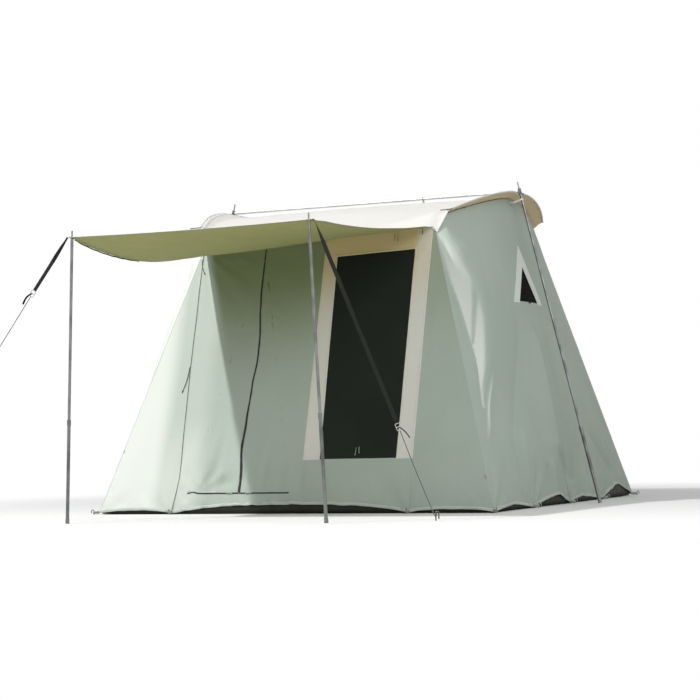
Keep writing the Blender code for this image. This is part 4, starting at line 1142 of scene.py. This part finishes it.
def side_cloth(side):
    """The outer face of one side wall, from base Y and height."""
    def place(base_y, z):
        """A point of the wall's outer face with its slack, folds and creases."""
        base_y = base_y if abs(base_y) > 1e-5 else 1e-5
        folds = slack(base_y, z * 0.6, 0.6, 0.012, 11.0 + side)
        folds += slack(base_y, z * 0.4, 0.2, 0.004, 14.0 + side)
        folds += corner_fold(base_y, z)
        for line, before, behind, depth in CREASES:
            folds += creased(base_y, z, line, before, behind, depth)
        for peg in PEG_PLACES:
            folds += rays(base_y, z, (peg, -0.02), 0.26, 0.009, 11, peg * 3 + side)
        folds += rays(base_y, z, (1.5, 0.0), 0.5, 0.006, 26, 0.5)
        edge, edge_z = eave(base_y)
        _, top = wall_top(base_y / copysign(FLOOR_HALF, base_y) * edge)
        vent = eased((hypot(base_y / 0.32, (z - 1.56) / 0.26) - 0.6) / 0.6)
        held = eased((FLOOR_HALF - abs(base_y)) / 0.10) * eased((top - z) / 0.14) * mixed(0.35, 1.0, vent)
        return along_side(side, base_y, z) + side_outwards(side, base_y, z) * (above_tray(folds, z) * held)
    return place


vent_wide = FLOOR_HALF / mixed(FLOOR_HALF, -FRONT_EAVE_Y, VENT_SILL_Z / RIDGE_WALL_Z)
vent_base = VENT_HALF * vent_wide
vent_outer = VENT_OUTER_HALF * vent_wide
vent_hole = [(-vent_base, VENT_SILL_Z), (vent_base, VENT_SILL_Z), (0.0, VENT_TOP_Z)]
vent_tape_cut = [
    (-vent_outer, VENT_SILL_Z - 0.012), (-vent_base + 0.004, VENT_SILL_Z - 0.012),
    (-vent_base + 0.006, VENT_SILL_Z + 0.004), (0.0, VENT_TOP_Z - 0.006),
    (vent_base - 0.006, VENT_SILL_Z + 0.004), (vent_base - 0.004, VENT_SILL_Z - 0.012),
    (vent_outer, VENT_SILL_Z - 0.012), (0.0, VENT_APEX_Z),
]
vent_mesh_cut = [
    (-vent_base - 0.006, VENT_SILL_Z - 0.006), (vent_base + 0.006, VENT_SILL_Z - 0.006),
    (0.0, VENT_TOP_Z + 0.01),
]
top_y = [mixed(BACK_EAVE_Y, 0.0, i / 24) for i in range(24)]
top_y += [mixed(0.0, SHOULDER_Y, i / 20) for i in range(21)] + [FRONT_EAVE_Y]
side_cut = [
    *hem_line(PEG_PLACES, SIDE_LIFTS, -FLOOR_HALF, FLOOR_HALF, power=HEM_POWER),
    *[(FLOOR_HALF * abs(y / eave(y)[0]) * copysign(1, y), wall_top(y)[1] - 0.001) for y in top_y],
]
middle_seam = [(0.0, hem(0.0, PEG_PLACES, SIDE_LIFTS)), (0.0, VENT_SILL_Z - 0.014)]
apex_seam = [(0.0, VENT_APEX_Z), (0.0, RIDGE_WALL_Z - 0.01)]
side_hem = [(y, z + 0.010) for y, z in hem_line(PEG_PLACES, SIDE_LIFTS, -1.49, 1.49, power=HEM_POWER)]
pale_tape = canvas(
    "pale vent tape", linear(238, 243, 237), linear(228, 234, 227),
    row=0.0, thread=linear(214, 220, 210), grip=0.4,
)
vent_mesh = netting("vent mesh", linear(10, 12, 10), linear(22, 26, 22), 0.02)

# Each wall takes painted sunlight on its fold faces by its mask; the left wall also along its front edge.
for side_name, side, painted_sun in (("left", -1, left_painted_sun), ("right", 1, fold_painted_sun)):
    place = side_cloth(side)
    wall = cut_cloth(
        f"side_wall_canvas_{side_name}", side_cut, place, 0.024, [sage], holes=[vent_hole], flip=side < 0,
        masks={"painted_sun": painted_sun},
    )
    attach(wall, "tent")
    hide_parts(f"side_wall_{side_name}_front", f"side_wall_{side_name}_back")
    seams = merged(f"side_seams_{side_name}", [
        tape("middle_seam", middle_seam, 0.012, place, sage_seam, lift=0.0005, facing=side),
        tape("apex_seam", apex_seam, SEAM_WIDTH, place, sage_seam, lift=0.0010, facing=side),
        tape("side_hem", side_hem, HEM_WIDTH, place, sage_hem, facing=side),
    ])
    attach(seams, "tent")
    vent_tape = cut_cloth(
        f"vent_tape_{side_name}", vent_tape_cut, raised(place, 0.0018, side), 0.02, [pale_tape],
        flip=side < 0,
    )
    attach(vent_tape, "tent")
    vent = cut_cloth(
        f"vent_netting_{side_name}", vent_mesh_cut, raised(place, -0.0025, side), 0.03, [vent_mesh],
        thickness=0.0006, flip=side < 0,
    )
    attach(vent, "tent")
    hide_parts(f"side_vent_mesh_{side_name}")
    flat_area(vent_mesh_cut)
    knob_at = raised(place, 0.005, side)(0.0, VENT_SILL_Z - 0.006)
    knob_line = [knob_at + Vector((0, y, 0)) for y in (-0.018, -0.012, 0.0, 0.012, 0.018)]
    knob = tube(
        f"vent_toggle_{side_name}", knob_line, 0.0045, dark_webbing, sides=10,
        swell=lambda along: 0.55 + 0.45 * sin(pi * along),
    )
    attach(knob, "tent")
    flat_area(side_cut, [vent_hole])


# Back wall
# Three widths of the same canvas without an opening, pegged at the hem like the front.
# All four corners are sewn to the side walls with a narrow seam.

OUT_BACK = Vector((0.0, BACK_EAVE_Z, FLOOR_HALF - BACK_EAVE_Y)).normalized()
BACK_LIFTS = ((0.030, 0.5), (0.055, 0.5), (0.030, 0.5))
BACK_SEAM_HALF = 0.6


def back_cloth(x, z):
    """The back wall's outer face with its slack and creases."""
    corner = mixed(FLOOR_HALF, EAVE_HALF, z / BACK_EAVE_Z)
    folds = slack(x, z * 0.6, 0.6, 0.014, 21.0) + slack(x, z * 0.35, 0.2, 0.004, 22.0)
    for peg in FRONT_PEGS:
        folds += rays(x, z, (peg, -0.02), 0.26, 0.008, 10, peg)
    for side in (-1, 1):
        folds += rays(x, z, (side * EAVE_HALF, BACK_EAVE_Z), 0.5, 0.007, 15, side)
    held = eased((corner - abs(x)) / 0.12) * eased((BACK_EAVE_Z - z) / 0.12)
    return across_back(x, z) + OUT_BACK * (above_tray(folds, z) * held)


back_cut = [
    *hem_line(FRONT_PEGS, BACK_LIFTS, -FLOOR_HALF, FLOOR_HALF),
    (EAVE_HALF, BACK_EAVE_Z),
    (-EAVE_HALF, BACK_EAVE_Z),
]
back_wall = cut_cloth("back_wall_canvas", back_cut, back_cloth, 0.03, [sage], flip=True)
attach(back_wall, "tent")
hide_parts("back_wall")
back_hem = [(x, z + 0.012) for x, z in hem_line(FRONT_PEGS, BACK_LIFTS, -1.49, 1.49)]
back_lines = [[(x, 0.06), (x, BACK_EAVE_Z - 0.004)] for x in (-BACK_SEAM_HALF, BACK_SEAM_HALF)]
back_seams = merged("back_seams", [
    tape("back_hem", back_hem, HEM_WIDTH, back_cloth, sage_hem, facing=-1),
    *[tape("back_seam", line, 0.018, back_cloth, sage_seam, facing=-1) for line in back_lines],
])
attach(back_seams, "tent")
flat_area(back_cut)

corner_seams = []
for side in (-1, 1):
    for place, top in ((across_front, FRONT_EAVE_Z), (across_back, BACK_EAVE_Z)):
        heights = np.linspace(0.012, top - 0.004, 60)
        line = [place(side * mixed(FLOOR_HALF, EAVE_HALF, z / top), z) for z in heights]
        corner_seams.append(tube("corner_seam", line, 0.0014, sage_seam, sides=8))
corner_seams = merged("corner_seams", corner_seams)
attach(corner_seams, "tent")


# Roof
# Off-white coated canvas, tan inside, held up by the ridge pole and bowed between the eaves.
# At each end it reaches out past the wall as a hood, its hem a sleeve for two spring rods.

ROOF_MID_Z, ROOF_ARCH = 2.227, 0.03
ROOF_SHELF = 0.02
ROOF_THICK, COAT_LIFT = 0.0018, 0.0028
SOCKET_X, SOCKET_Z = 1.1841, 2.2442
BOW_R, ROD_GAP, ROD_DROP = 0.004, 0.0003, 0.0015
SLEEVE_R, HOOD_HEM_WIDTH = 0.0062, 0.026
RIM_STRAIGHT = 0.065
RIM_OUT, RIM_Z = SOCKET_X - BOW_R - ROD_GAP, SOCKET_Z - ROD_DROP


def hood_rim(y):
    """Half width and height of the underside of the hood's edge at y."""
    out, top = wall_top(y)
    if y < SHOULDER_Y:
        fade = (y - FRONT_EAVE_Y) / (SHOULDER_Y - FRONT_EAVE_Y)
        return out + mixed(0.010, 0.0455, fade), top + 0.03 * fade
    end, over, rise = (SHOULDER_Y, 0.0455, 0.03) if y < 0 else (BACK_EAVE_Y, 0.072, 0.051)
    end_out, end_z = wall_top(end)
    bend = (max(abs(y) - RIM_STRAIGHT, 0.0) / (abs(end) - RIM_STRAIGHT)) ** 1.7
    return mixed(RIM_OUT, end_out + over, bend), mixed(RIM_Z, end_z + rise, bend)


def roof_top(x, y):
    """The upper face of the roof."""
    edge, edge_z = eave(y)
    share = y / edge
    middle = mixed(ROOF_MID_Z, edge_z, share) + ROOF_ARCH * sin(pi * share)
    out, top = wall_top(y)
    rim_out, rim_z = hood_rim(y)
    if abs(x) <= out:
        z = mixed(middle, top, min(abs(x) / (out - ROOF_SHELF), 1.0) ** 2)
        z += eave_tilt(x) * eased(1.0 - (y - FRONT_EAVE_Y) / 0.30)
        loose = eased((out - ROOF_SHELF - abs(x)) / 0.2) * sin(pi * min(share, 1.0))
        z += loose * (slack(x, y, 0.45, 0.012, 31.0) + slack(x * 0.5, y, 0.15, 0.003, 32.0))
    else:
        past = (abs(x) - out) / (rim_out - out)
        z = mixed(top, rim_z, past) + 0.006 * sin(pi * min(past, 1.0))
        z += 0.0012 * sin(y * 55.0) * past
    return Vector((x, y, z + COAT_LIFT))


off_white = canvas(
    "off-white coated canvas", linear(222, 221, 217), linear(215, 214, 208), roughness=0.72, threads=800.0,
)
tan_inside = canvas(
    "tan inner face", linear(236, 212, 174), linear(225, 200, 160), roughness=0.8, threads=800.0,
)
white_seam = canvas(
    "off-white seam", linear(221, 220, 215), linear(213, 211, 204), roughness=0.75,
    row=0.0065, thread=linear(200, 198, 190), grip=0.5,
)

front_y = [FRONT_EAVE_Y, -0.90, *[mixed(SHOULDER_Y, -RIM_STRAIGHT, i / 26) for i in range(27)]]
back_y = [mixed(RIM_STRAIGHT, BACK_EAVE_Y, i / 30) for i in range(31)]
notch = [(RIM_OUT - 0.0165, y) for y in (-0.062, 0.062)]
right_edge = [(hood_rim(y)[0], y) for y in front_y] + notch + [(hood_rim(y)[0], y) for y in back_y]
roof_cut = right_edge + [(-x, y) for x, y in reversed(right_edge)]
roof = cut_cloth("roof_canvas", roof_cut, roof_top, 0.03, [off_white, tan_inside], thickness=ROOF_THICK)
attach(roof, "tent")
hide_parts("roof")


def rod_seat(side, y):
    """The middle of a bow rod where it lies against the hood's edge."""
    out, height = hood_rim(y)
    inner = y * 0.99
    slant = (hood_rim(inner)[0] - out) / (inner - y)
    return Vector((side * (out + (BOW_R + ROD_GAP) * sqrt(1 + slant ** 2)), y, height + ROD_DROP))


def puckered(share):
    """The sleeve's small gathers along its stitching."""
    return 1.0 + 0.06 * sin(share * 150.0) + 0.04 * sin(share * 67.0)


roof_hems = []
for side in (-1, 1):
    for end, start in ((-0.845, -0.070), (BACK_EAVE_Y - 0.004, 0.070)):
        line = [rod_seat(side, mixed(start, end, i / 50)) for i in range(51)]
        roof_hems.append(tube("rod_sleeve", line, SLEEVE_R, white_seam, sides=12, swell=puckered))
    for end, start in ((-0.85, -0.085), (BACK_EAVE_Y - 0.01, 0.085)):
        places = [mixed(start, end, i / 30) for i in range(31)]
        line = [(side * (hood_rim(y)[0] - 0.020), y) for y in places]
        roof_hems.append(tape("hood_hem", line, HOOD_HEM_WIDTH, roof_top, white_seam))
line = [(mixed(-EAVE_HALF, EAVE_HALF, i / 40), BACK_EAVE_Y - 0.012) for i in range(41)]
roof_hems.append(tape("eave_hem", line, 0.02, roof_top, white_seam))
roof_hems = merged("roof_hems", roof_hems)
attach(roof_hems, "tent")
flat_area(roof_cut)


# Awning
# The same coated canvas, olive inside, sewn to the front eave and carried on two poles.
# Eyelets at its front corners sit on the poles' pins; both long edges sag between their ends.
# A thin black cord is sewn along part of its left edge; it also stands in for the shade along the hem there.

AWNING_FRONT_Y, AWNING_PATCH_Y = -2.80, -2.74
AWNING_FRONT_HALF, AWNING_FRONT_Z = 0.871, 1.827
AWNING_BACK_HALF = 0.892
AWNING_PIN_HALF, AWNING_PIN_Y = 0.848, -2.778
EYELET_HOLE_R, PATCH_HOLE_R, EYELET_RING_R = 0.0062, 0.0075, 0.0085
PATCH_INSET, PATCH_WIDTH, PATCH_DEPTH = 0.003, 0.14, 0.17
AWNING_BACK_Y = FRONT_EAVE_Y - 0.0003
SAG_LEFT, SAG_RIGHT = 0.110, 0.03


def awning_top(x, y):
    """The upper face of the awning."""
    share = min(max((AWNING_BACK_Y - y) / (AWNING_BACK_Y - AWNING_PATCH_Y), 0.0), 1.0)
    sag = mixed(SAG_LEFT, SAG_RIGHT, (x + AWNING_FRONT_HALF) / (2 * AWNING_FRONT_HALF))
    tilt = eave_rise(x) * (1.0 - share)
    z = mixed(FRONT_EAVE_Z, AWNING_FRONT_Z, share) - 4 * sag * share * (1 - share) + tilt
    loose = eased(share / 0.08) * eased((1.0 - share) / 0.12)
    inner = eased((AWNING_FRONT_HALF - abs(x)) / 0.25)
    folds = slack(x, y * 0.7, 0.5, 0.012, 41.0) * inner + slack(x, y * 0.4, 0.16, 0.004, 42.0)
    for side in (-1, 1):
        folds += rays(x, y, (side * AWNING_PIN_HALF, AWNING_PIN_Y), 0.55, 0.007, 13, side)
        folds += rays(x, y, (side * EAVE_HALF, AWNING_BACK_Y), 0.4, 0.006, 12, side)
    front_dip = 0.010 * (1.0 - (x / AWNING_FRONT_HALF) ** 2) * eased((share - 0.85) / 0.15)
    corner = eased((1.0 - abs(x) / AWNING_FRONT_HALF) / 0.1)
    return Vector((x, y, z + 0.0026 + folds * loose - front_dip * corner))


def round_pin(side, radius, share):
    """A place on a flat ring about an awning pole's pin."""
    turn = 2 * pi * share
    return side * AWNING_PIN_HALF + radius * cos(turn), AWNING_PIN_Y + radius * sin(turn)


def awning_edge(share):
    """Half the awning's width and its depth, from its front corner to the eave."""
    return mixed(AWNING_FRONT_HALF, AWNING_BACK_HALF, share), mixed(AWNING_PATCH_Y, AWNING_BACK_Y, share)


olive_inside = canvas(
    "olive inner face", linear(171, 172, 114), linear(160, 161, 104), roughness=0.8, threads=800.0,
)
olive_seam = canvas(
    "olive hem", linear(160, 160, 108), linear(148, 149, 98), roughness=0.8,
    row=0.0065, thread=linear(176, 174, 136), grip=0.5,
)
awning_hem = [awning_edge(i / 40) for i in range(41)]
awning_cut = [
    (-AWNING_FRONT_HALF, AWNING_FRONT_Y), (AWNING_FRONT_HALF, AWNING_FRONT_Y),
    *awning_hem, *[(-x, y) for x, y in reversed(awning_hem)],
]
eyelets = [[round_pin(side, EYELET_HOLE_R, i / 16) for i in range(16)] for side in (-1, 1)]
awning = cut_cloth(
    "awning_canvas", awning_cut, awning_top, 0.03, [off_white, olive_inside],
    holes=eyelets, thickness=ROOF_THICK,
)
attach(awning, "tent")
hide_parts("awning")


def awning_under(x, y):
    """The olive face of the awning."""
    return awning_top(x, y) - Vector((0.0, 0.0, ROOF_THICK))


awning_hems = []
for side in (-1, 1):
    halves = [mixed(AWNING_FRONT_HALF, AWNING_BACK_HALF, i / 40) - 0.014 for i in range(41)]
    line = [(side * half, mixed(-2.775, AWNING_BACK_Y - 0.002, i / 40)) for i, half in enumerate(halves)]
    awning_hems.append(tape("hem_over", line, HOOD_HEM_WIDTH, awning_top, white_seam))
    awning_hems.append(tape("hem_under", line, HOOD_HEM_WIDTH, awning_under, olive_seam, facing=-1))
line = [(mixed(-0.867, 0.867, i / 40), AWNING_FRONT_Y + 0.014) for i in range(41)]
awning_hems.append(tape("hem_front_over", line, HOOD_HEM_WIDTH, awning_top, white_seam))
awning_hems.append(tape("hem_front_under", line, HOOD_HEM_WIDTH, awning_under, olive_seam, facing=-1))
line = [(mixed(-0.888, 0.888, i / 40), AWNING_BACK_Y - 0.009) for i in range(41)]
awning_hems.append(tape("eave_seam_over", line, 0.020, awning_top, white_seam))
for side in (-1, 1):
    outer_x, front_y = side * (AWNING_FRONT_HALF - PATCH_INSET), AWNING_FRONT_Y + PATCH_INSET
    patch = [
        (outer_x, front_y), (side * (AWNING_FRONT_HALF - PATCH_WIDTH), front_y),
        (outer_x, AWNING_FRONT_Y + PATCH_DEPTH),
    ]
    patch = patch[::-1] if side > 0 else patch
    ring_hole = [round_pin(side, PATCH_HOLE_R, i / 16) for i in range(16)]
    awning_hems.append(cut_cloth(
        "patch", patch, raised(awning_top, 0.0016), 0.02, [white_seam], holes=[ring_hole], thickness=0.001,
    ))
awning_hems = merged("awning_hems", awning_hems)
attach(awning_hems, "tent")

eyelet_rings = []
for side in (-1, 1):
    ring = [awning_top(*round_pin(side, EYELET_RING_R, i / 24)) for i in range(25)]
    ring = [point + Vector((0.0, 0.0, 0.0004)) for point in ring]
    eyelet_rings.append(tube("eyelet", ring, 0.0022, nickel, sides=8))
eyelet_rings = merged("awning_eyelets", eyelet_rings)
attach(eyelet_rings, "tent")

# This dark cord also serves as painted shade along the left hem.
edge_line = []
for i in range(61):
    x = -mixed(AWNING_FRONT_HALF, AWNING_BACK_HALF, i / 110) - 0.0046
    hangs = 0.0020 + 0.0035 * sin(pi * i / 60) - 0.0010 * sin(i * 0.7)
    edge_line.append(awning_top(x, mixed(-2.70, -1.9, i / 60)) - Vector((0.0, 0.0, hangs)))
edge_cord_and_shade = tube("awning_edge_cord_and_shade", edge_line, 0.0042, dark_webbing, sides=8)
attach(edge_cord_and_shade, "tent")
flat_area(awning_cut) * 0.999


# Poles
# Grey steel tubes: the uprights and the awning poles slide one in the other, with a pin on top.
# The ridge pole plugs into two brackets, whose sockets also hold the spring-steel bow rods.
# A webbing tie holds the roof to the ridge pole, and a loop holds each side wall's peak to its upright.

RIDGE_Z, RIDGE_POLE_R = 2.257, 0.011
RIDGE_TIE_X, RIDGE_TIE_WIDTH, RIDGE_TIE_THICK = 0.42, 0.010, 0.0010
FOOT_HALF, PIN_HALF = 1.724, 1.181
UPRIGHT_LOOP_Z, UPRIGHT_LOOP_DROP, UPRIGHT_LOOP_R = 2.196, 0.020, 0.0118

# The ridge tube is a paler copy of the grey steel: painted light for a tube lit from above against the white
# roof.
ridge_steel = metal("pale ridge tube", linear(214, 215, 213), linear(190, 192, 190), 0.42, size=0.12)
tube_steel = metal("grey steel tube", linear(138, 142, 140), linear(112, 116, 113), 0.34, size=0.12)
lower_steel = metal("lower tube", linear(126, 130, 127), linear(100, 104, 101), 0.38, size=0.12)
bracket_steel = metal("bracket steel", linear(136, 138, 136), linear(108, 111, 109), 0.42, size=0.03)
spring_steel = metal("spring steel", linear(120, 122, 120), linear(92, 94, 92), 0.3, size=0.06)
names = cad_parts
refinish(ridge_steel, *[name for name in names if name.startswith("ridge_pole")])
refinish(tube_steel, *[name for name in names if "_upper_" in name])
refinish(lower_steel, *[name for name in names if "_lower_" in name])
refinish(bracket_steel, "ridge_bracket_left", "ridge_bracket_right")
refinish(spring_steel, *[name for name in names if name.startswith("bow_rod")])

tie_r = RIDGE_POLE_R + 0.0012
tie_foot = roof_top(RIDGE_TIE_X, 0.0).z + 0.001
tie_turns = [-0.35 * pi + 1.7 * pi * step / 16 for step in range(17)]
tie_line = [(-0.018, tie_foot), (-0.010, tie_foot + 0.001)]
tie_line += [(-cos(turn) * tie_r, RIDGE_Z + sin(turn) * tie_r) for turn in tie_turns]
tie_line += [(0.010, tie_foot + 0.001), (0.018, tie_foot)]
ridge_ties = band(
    "ridge_ties", [Vector((RIDGE_TIE_X, y, z)) for y, z in tie_line], Vector((1, 0, 0)),
    RIDGE_TIE_WIDTH, RIDGE_TIE_THICK, pale_webbing,
)
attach(ridge_ties, "tent")

white_webbing = canvas(
    "white webbing", linear(236, 237, 232), linear(222, 223, 216), threads=520.0,
    row=0.004, thread=linear(246, 246, 242), grip=0.6,
)
upright_x = FOOT_HALF - (FOOT_HALF - PIN_HALF) / RIDGE_Z * UPRIGHT_LOOP_Z
loop_low = UPRIGHT_LOOP_Z - UPRIGHT_LOOP_DROP
wall_x = mixed(FLOOR_HALF, wall_top(0.0)[0], loop_low / RIDGE_WALL_Z) + 0.002
half_way = (mixed(wall_x, upright_x, 0.5), 0.013, UPRIGHT_LOOP_Z - 0.014)
loop_turns = [pi * (0.5 - step / 12) for step in range(13)]
loop_line = [
    (wall_x, 0.010, loop_low),
    half_way,
    *[(upright_x + UPRIGHT_LOOP_R * cos(t), UPRIGHT_LOOP_R * sin(t), UPRIGHT_LOOP_Z) for t in loop_turns],
    (half_way[0], -half_way[1], half_way[2]),
    (wall_x, -0.010, loop_low),
]
upright_loops = []
for side in (-1, 1):
    loop = [Vector((side * x, y, z)) for x, y, z in loop_line]
    upright_loops.append(band("upright_loop", loop, Vector((0.0, 0.0, 1.0)), 0.012, 0.0014, white_webbing))
upright_loops = merged("upright_loops", upright_loops)
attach(upright_loops, "tent")


# Guys
# Black webbing runs from each awning pole's pin to a sewn-on ladder buckle, and its tail hangs free.
# It twists flat side to the front on its way; below it a braided cord goes on, taut, to the guy's peg.

STRAP_WIDTH, STRAP_THICK, STRAP_TAIL = 0.025, 0.0025, 0.016
TWIST_START, TWIST_LENGTH, TWIST_ZONE = 0.03, 0.18, 0.25
TAIL_WIDTH, TAIL_THICK, TAIL_POINTS = 0.017, 0.0018, 18
BUCKLE_LENGTH, BUCKLE_THICK = 0.046, 0.003
ROPE_R, ROPE_SAG, ROPE_TIE_Z = 0.0025, 0.010, 0.032
GUY_PEG_R = 0.0045

satin_metal = metal("satin buckle metal", linear(206, 206, 202), linear(176, 176, 172), 0.3, size=0.01)
refinish(satin_metal, "guy_buckle_left", "guy_buckle_right")

braid, tree, shader = blank("braided cord")
place = node(tree, "ShaderNodeTexCoord").outputs
parts = apart(tree, place["UV"])
turns = sums(tree, "MULTIPLY", parts[0], 2 * pi / 0.009)
round_it = sums(tree, "MULTIPLY", parts[1], 4.0 / ROPE_R)
one = sums(tree, "SINE", sums(tree, "ADD", turns, round_it))
two = sums(tree, "SINE", sums(tree, "SUBTRACT", turns, round_it))
strands = stepped(tree, sums(tree, "MAXIMUM", one, two), -0.6, 1.0)
worn = use(tree, "weathering", {"Place": place["Object"], "Size": 0.3})
cord_colour = blended(tree, strands, linear(48, 52, 48), linear(104, 108, 100))
faded = sums(tree, "MULTIPLY", worn["Patches"], 0.3)
bump = node(tree, "ShaderNodeBump", {"Strength": 0.8, "Distance": 0.0006, "Height": strands})
fed(tree, shader, {
    "Base Color": blended(tree, faded, cord_colour, linear(122, 122, 112)),
    "Roughness": stepped(tree, strands, 0.0, 1.0, 0.92, 0.8),
    "Normal": bump.outputs[0],
})


def knotted(share):
    """The bulges of the cord's knot."""
    return 0.55 + 0.45 * abs(sin(2 * pi * share + 0.3))


def guy(side_name, side, peg, strap_length):
    """The strap with its buckle and tail, and the cord that goes on to the peg."""
    pin = Vector((side * AWNING_PIN_HALF, AWNING_PIN_Y, AWNING_FRONT_Z + 0.0033))
    flat = Vector((peg.x - pin.x, peg.y - pin.y, 0.0)).normalized()
    aside = Vector((-flat.y, flat.x, 0.0))
    edge = (AWNING_FRONT_HALF - AWNING_PIN_HALF + 0.006) / abs(flat.x)
    bend = pin + flat * edge
    tie_point = peg + Vector((0.0, 0.0, ROPE_TIE_Z))
    slope = (tie_point - bend).normalized()
    tie = tie_point - flat * (GUY_PEG_R + ROPE_R * abs(slope.z) + 0.0006)
    down = (tie - bend).normalized()
    normal = aside.cross(down)
    normal = normal if normal.z > 0 else -normal

    def turned(direction, along):
        """The direction after the strap's quarter twist has run that far."""
        angle = pi / 2 * min(max((along - edge - TWIST_START) / TWIST_LENGTH, 0.0), 1.0)
        return direction * cos(angle) + down.cross(direction) * sin(angle)

    start = pin - flat * STRAP_TAIL + Vector((0.0, 0.0, STRAP_THICK / 2))
    run = [mixed(start, bend + Vector((0.0, 0.0, STRAP_THICK / 2)), i / 6) for i in range(6)]
    run.append(bend + (normal + Vector((0.0, 0.0, 1.0))).normalized() * (STRAP_THICK * 0.55))
    asides = [aside] * 7
    if strap_length < edge + TWIST_ZONE + 0.01:
        beyond = [mixed(edge, strap_length, i / 60) for i in range(1, 61)]
    else:
        beyond = [mixed(edge, edge + TWIST_ZONE, i / 30) for i in range(1, 31)]
        beyond += [mixed(edge + TWIST_ZONE, strap_length, i / 40) for i in range(1, 41)]
    for along in beyond:
        run.append(bend + down * (along - edge) + turned(normal, along) * (STRAP_THICK / 2))
        asides.append(turned(aside, along))
    end, outwards = run[-1], turned(normal, strap_length)
    strap = band(f"guy_webbing_{side_name}", run, asides, STRAP_WIDTH, STRAP_THICK, dark_webbing)
    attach(strap, "tent")
    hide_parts(f"guy_strap_{side_name}")

    facing = outwards if outwards.y < 0 else -outwards
    tail_start = bend + down * (strap_length - edge + BUCKLE_LENGTH * 0.55) + facing * 0.0045
    tail, last = [], TAIL_POINTS - 1
    for t in np.linspace(0.0, 1.0, TAIL_POINTS):
        falls = Vector((0.0, 0.0, -0.022 * t - 0.044 * t * t))
        tail.append(tail_start + facing * (0.012 * sin(pi * t)) + flat * (0.066 * t) + falls)
    tail_ways = [(tail[min(i + 1, last)] - tail[max(i - 1, 0)]).normalized() for i in range(TAIL_POINTS)]
    tail_sides = [aside + way.cross(aside) * 0.35 for way in tail_ways]
    strap_tail = band(f"guy_tail_{side_name}", tail, tail_sides, TAIL_WIDTH, TAIL_THICK, dark_webbing)
    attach(strap_tail, "tent")
    tuple(run[0])
    [tuple(point) for point in run]

    first = bend + down * (strap_length - edge + 0.0003 + BUCKLE_LENGTH + 0.0006)
    first += outwards * (BUCKLE_THICK / 2)
    route = []
    for i in range(49):
        sinks = Vector((0.0, 0.0, 4 * ROPE_SAG * i / 48 * (1 - i / 48)))
        route.append(mixed(first, tie, i / 48) - sinks)
    rope = tube(f"guy_cord_{side_name}", route, ROPE_R, braid, sides=10)
    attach(rope, "tent")
    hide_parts(f"guy_rope_{side_name}")
    loop = []
    radius = GUY_PEG_R + ROPE_R + 0.0004
    for step in range(25):
        angle = pi + 2 * pi * step / 24
        climb = Vector((0.0, 0.0, ROPE_TIE_Z - 0.004 + 0.006 * cos(angle * 0.5) ** 2))
        loop.append(peg + flat * (radius * cos(angle)) + aside * (radius * sin(angle)) + climb)
    way = (route[-1] - route[-3]).normalized()
    knot = [route[-1] - way * (0.040 - 0.024 * i / 6) for i in range(7)]
    ends = merged(f"guy_cord_end_{side_name}", [
        tube("loop", loop, ROPE_R, braid, sides=10),
        tube("knot", knot, ROPE_R * 2.1, braid, sides=12, swell=knotted),
    ])
    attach(ends, "tent")


guy("left", -1, Vector((-2.20, -2.95, 0.0)), 0.44)
guy("right", 1, Vector((1.515, -2.50, 0.0)), 1.36)


# Studio
# A pale floor that runs out into white, and a white room around it.
# One small lamp stands high on the front left, like a sun, and a soft one on the right.

FLOOR_REACH = 60.0

floor_shade, tree, shader = blank("studio floor")
white = node(tree, "ShaderNodeEmission", {"Color": (1.0, 1.0, 1.0, 1.0), "Strength": 1.0})
place = node(tree, "ShaderNodeTexCoord").outputs["Object"]
away = node(tree, "ShaderNodeVectorMath", {0: place}, operation="LENGTH").outputs["Value"]
rays_seen = node(tree, "ShaderNodeLightPath").outputs
seen = sums(tree, "MAXIMUM", rays_seen["Is Camera Ray"], rays_seen["Is Glossy Ray"])
floor_colour = blended(tree, seen, linear(204, 204, 202), linear(238, 238, 238))
fed(tree, shader, {"Base Color": floor_colour, "Roughness": 0.9, "Specular IOR Level": 0.1})
edge = sums(tree, "MULTIPLY", stepped(tree, away, 2.6, 5.5), seen)
mix = node(tree, "ShaderNodeMixShader", {0: edge, 1: shader.outputs[0], 2: white.outputs[0]})
tree.links.new(mix.outputs[0], tree.nodes["Material Output"].inputs[0])
floor_mesh = bpy.data.meshes.new("floor")
floor_corners = [(x * FLOOR_REACH, y * FLOOR_REACH, -0.001) for x, y in ((-1, -1), (1, -1), (1, 1), (-1, 1))]
floor_mesh.from_pydata(floor_corners, [], [(0, 1, 2, 3)])
floor_mesh.materials.append(floor_shade)
floor = bpy.data.objects.new("floor", floor_mesh)
bpy.context.collection.objects.link(floor)

room = bpy.data.worlds.new("room")
room.use_nodes = True
bpy.context.scene.world = room
tree = room.node_tree
background = tree.nodes["Background"]
kinds = node(tree, "ShaderNodeLightPath").outputs
seen = sums(tree, "MAXIMUM", kinds["Is Camera Ray"], kinds["Is Glossy Ray"], kinds["Is Transmission Ray"])
skyward = apart(tree, node(tree, "ShaderNodeTexCoord").outputs["Generated"])[2]
soft = stepped(tree, skyward, -0.1, 0.95, 0.26, 0.56)
fed(tree, background, {"Color": (1.0, 1.0, 1.0, 1.0), "Strength": sums(tree, "MAXIMUM", soft, seen)})


def lamp(name, at, towards, size, power):
    """A square lamp that the camera doesn't see."""
    light = bpy.data.lights.new(name, "AREA")
    light.size = size
    light.energy = power
    holder = bpy.data.objects.new(name, light)
    holder.location = at
    holder.visible_camera = False
    holder.rotation_euler = (Vector(towards) - Vector(at)).to_track_quat("-Z", "Y").to_euler()
    bpy.context.collection.objects.link(holder)


lamp("key lamp", (-3.68, -6.61, 9.6), (0.0, -0.6, 0.8), 0.3, 850.0)
lamp("fill lamp", (5.0, -5.0, 4.2), (1.2, -0.6, 0.9), 3.0, 110.0)
bpy.context.scene.view_settings.view_transform = "Standard"
